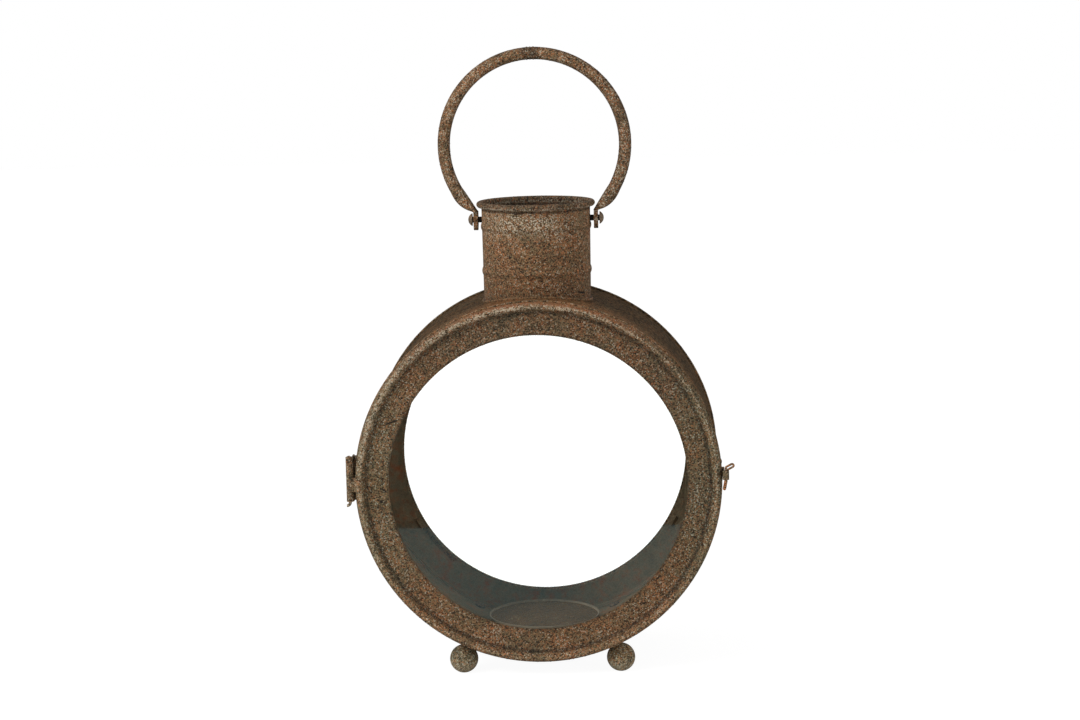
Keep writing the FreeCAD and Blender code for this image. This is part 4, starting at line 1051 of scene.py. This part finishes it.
scale_over("drum_scale", "drum_band", "lantern", "rusted_drum",
           per_square_cm=2.0, seed=3, keep=outside_drum)
scale_over("door_scale", "door_ring", "door", "rusted_door",
           per_square_cm=7.0, seed=5, keep=front_of_door)
scale_over("chimney_scale", "chimney", "lantern", "rusted_chimney",
           per_square_cm=7.0, seed=7, keep=outside_chimney)
scale_over("handle_scale", "handle", "bail", "rusted_handle",
           per_square_cm=7.0, seed=11, keep=upper_handle)

# %% [markdown]
# The studio is an even light sky over a pale floor. The sky turns plain white for the camera and
# for what is seen through glass, so the background stays white while the light stays at a level
# where colours render as they are written.

# %% Light the sky
SKY_LIGHT = 0.55
SKY_SEEN = 1.0

world = bpy.data.worlds.new("studio")
bpy.context.scene.world = world
world.use_nodes = True
sky = Plan(world.node_tree)
sky.tree.nodes.clear()
sky_path = sky.add_node("ShaderNodeLightPath", {}, [])
seen_direct = Signal(sky, sky_path.outputs["Is Camera Ray"])
seen_through = Signal(sky, sky_path.outputs["Is Transmission Ray"])
even_light = sky.add("ShaderNodeBackground", {}, [PURE_WHITE, SKY_LIGHT])
seen_light = sky.add("ShaderNodeBackground", {}, [PURE_WHITE, SKY_SEEN])
sky_mix = sky.add("ShaderNodeMixShader", {}, [
    (seen_direct + seen_through).limited(), even_light, seen_light])
sky.add_node("ShaderNodeOutputWorld", {}, {"Surface": sky_mix})
print("the sky lights with", SKY_LIGHT, "and shows as", SKY_SEEN)

# %% [markdown]
# The floor is white for the camera too, apart from a faint shadow. The glass mirrors it: pale
# paper in front of the lantern as far as it reaches, and the dark room beyond. That is the faint
# veil in the lower half of the door. Every face of glass takes away a little of the white behind
# it, so the floor is made that much whiter for rays that came through glass.

# %% Lay the floor
PAPER_WHITE = 1.1
LOST_PER_FACE = 0.09
PAPER_FRONT = -0.619
PAPER_EDGE = 2 * MM
PAPER_MIRRORED = (0.20, 0.36, 0.39, 1.0)
PAPER_BEHIND = (0.27, 0.31, 0.30, 1.0)
ROOM_MIRRORED = (0.012, 0.012, 0.012, 1.0)
FLOOR_REACH = 6.0
FLOOR_COLOUR = (0.86, 0.86, 0.85, 1.0)
SHADOW_SHARE = 0.14


def floor_plane(name, reach):
    """A level square round the origin."""
    mesh = bpy.data.meshes.new(name)
    corners = [(-reach, -reach, 0), (reach, -reach, 0), (reach, reach, 0), (-reach, reach, 0)]
    mesh.from_pydata(corners, [], [(0, 1, 2, 3)])
    plane = bpy.data.objects.new(name, mesh)
    bpy.context.scene.collection.objects.link(plane)
    return plane


def floor_paper():
    """White for the camera except for a faint shadow, and grey-blue paper for mirrors."""
    finish = Finish("pale_paper")
    path = finish.add_node("ShaderNodeLightPath", {}, [])
    direct = Signal(finish, path.outputs["Is Camera Ray"])
    through = Signal(finish, path.outputs["Is Transmission Ray"])
    mirrored = Signal(finish, path.outputs["Is Glossy Ray"])
    lost_in_glass = 1 + Signal(finish, path.outputs["Transparent Depth"]) * LOST_PER_FACE
    plain = finish.add("ShaderNodeBsdfDiffuse", {}, [FLOOR_COLOUR])
    white = finish.add("ShaderNodeEmission", {}, {
        "Color": PURE_WHITE, "Strength": lost_in_glass * PAPER_WHITE})
    shadowed = finish.add("ShaderNodeMixShader", {}, [SHADOW_SHARE, white, plain])
    depth = finish.position().part(1)
    reach = depth.between(PAPER_FRONT - PAPER_EDGE, PAPER_FRONT + PAPER_EDGE)
    paper = finish.mix(depth.between(ring_low.y, 0.0), PAPER_MIRRORED, PAPER_BEHIND)
    tint = finish.mix(reach, ROOM_MIRRORED, paper)
    veil = finish.add("ShaderNodeEmission", {}, {"Color": tint, "Strength": 1.0})
    light = finish.add("ShaderNodeMixShader", {}, [(direct + through).limited(), plain, shadowed])
    return finish.close(finish.add("ShaderNodeMixShader", {}, [mirrored, light, veil]))


floor = floor_plane("floor", FLOOR_REACH)
floor.data.materials.append(floor_paper())
print("the floor reaches", FLOOR_REACH, "m to each side")

# %% [markdown]
# Two round lamps give the metal its form: a key lamp at the upper left in front, and a weak one at
# the right that opens the shadows. They are large for their distance, because the light in the
# picture is soft.

# %% Hang the lamps
def soft_lamp(name, place, size, power):
    """A round lamp that looks at the middle of the drum."""
    lamp = bpy.data.objects.new(name, bpy.data.lights.new(name, "AREA"))
    lamp.data.shape = "DISK"
    lamp.data.size = size
    lamp.data.energy = power
    lamp.location = place
    aim = Vector(place) - Vector((0.0, 0.0, axis_height))
    lamp.rotation_euler = aim.to_track_quat("Z", "Y").to_euler()
    bpy.context.scene.collection.objects.link(lamp)
    print(name, "gives", power, "W")


soft_lamp("key_lamp", place=(-1.6, -1.3, 1.6), size=0.8, power=34)
soft_lamp("fill_lamp", place=(1.8, -1.4, 0.9), size=1.4, power=9)
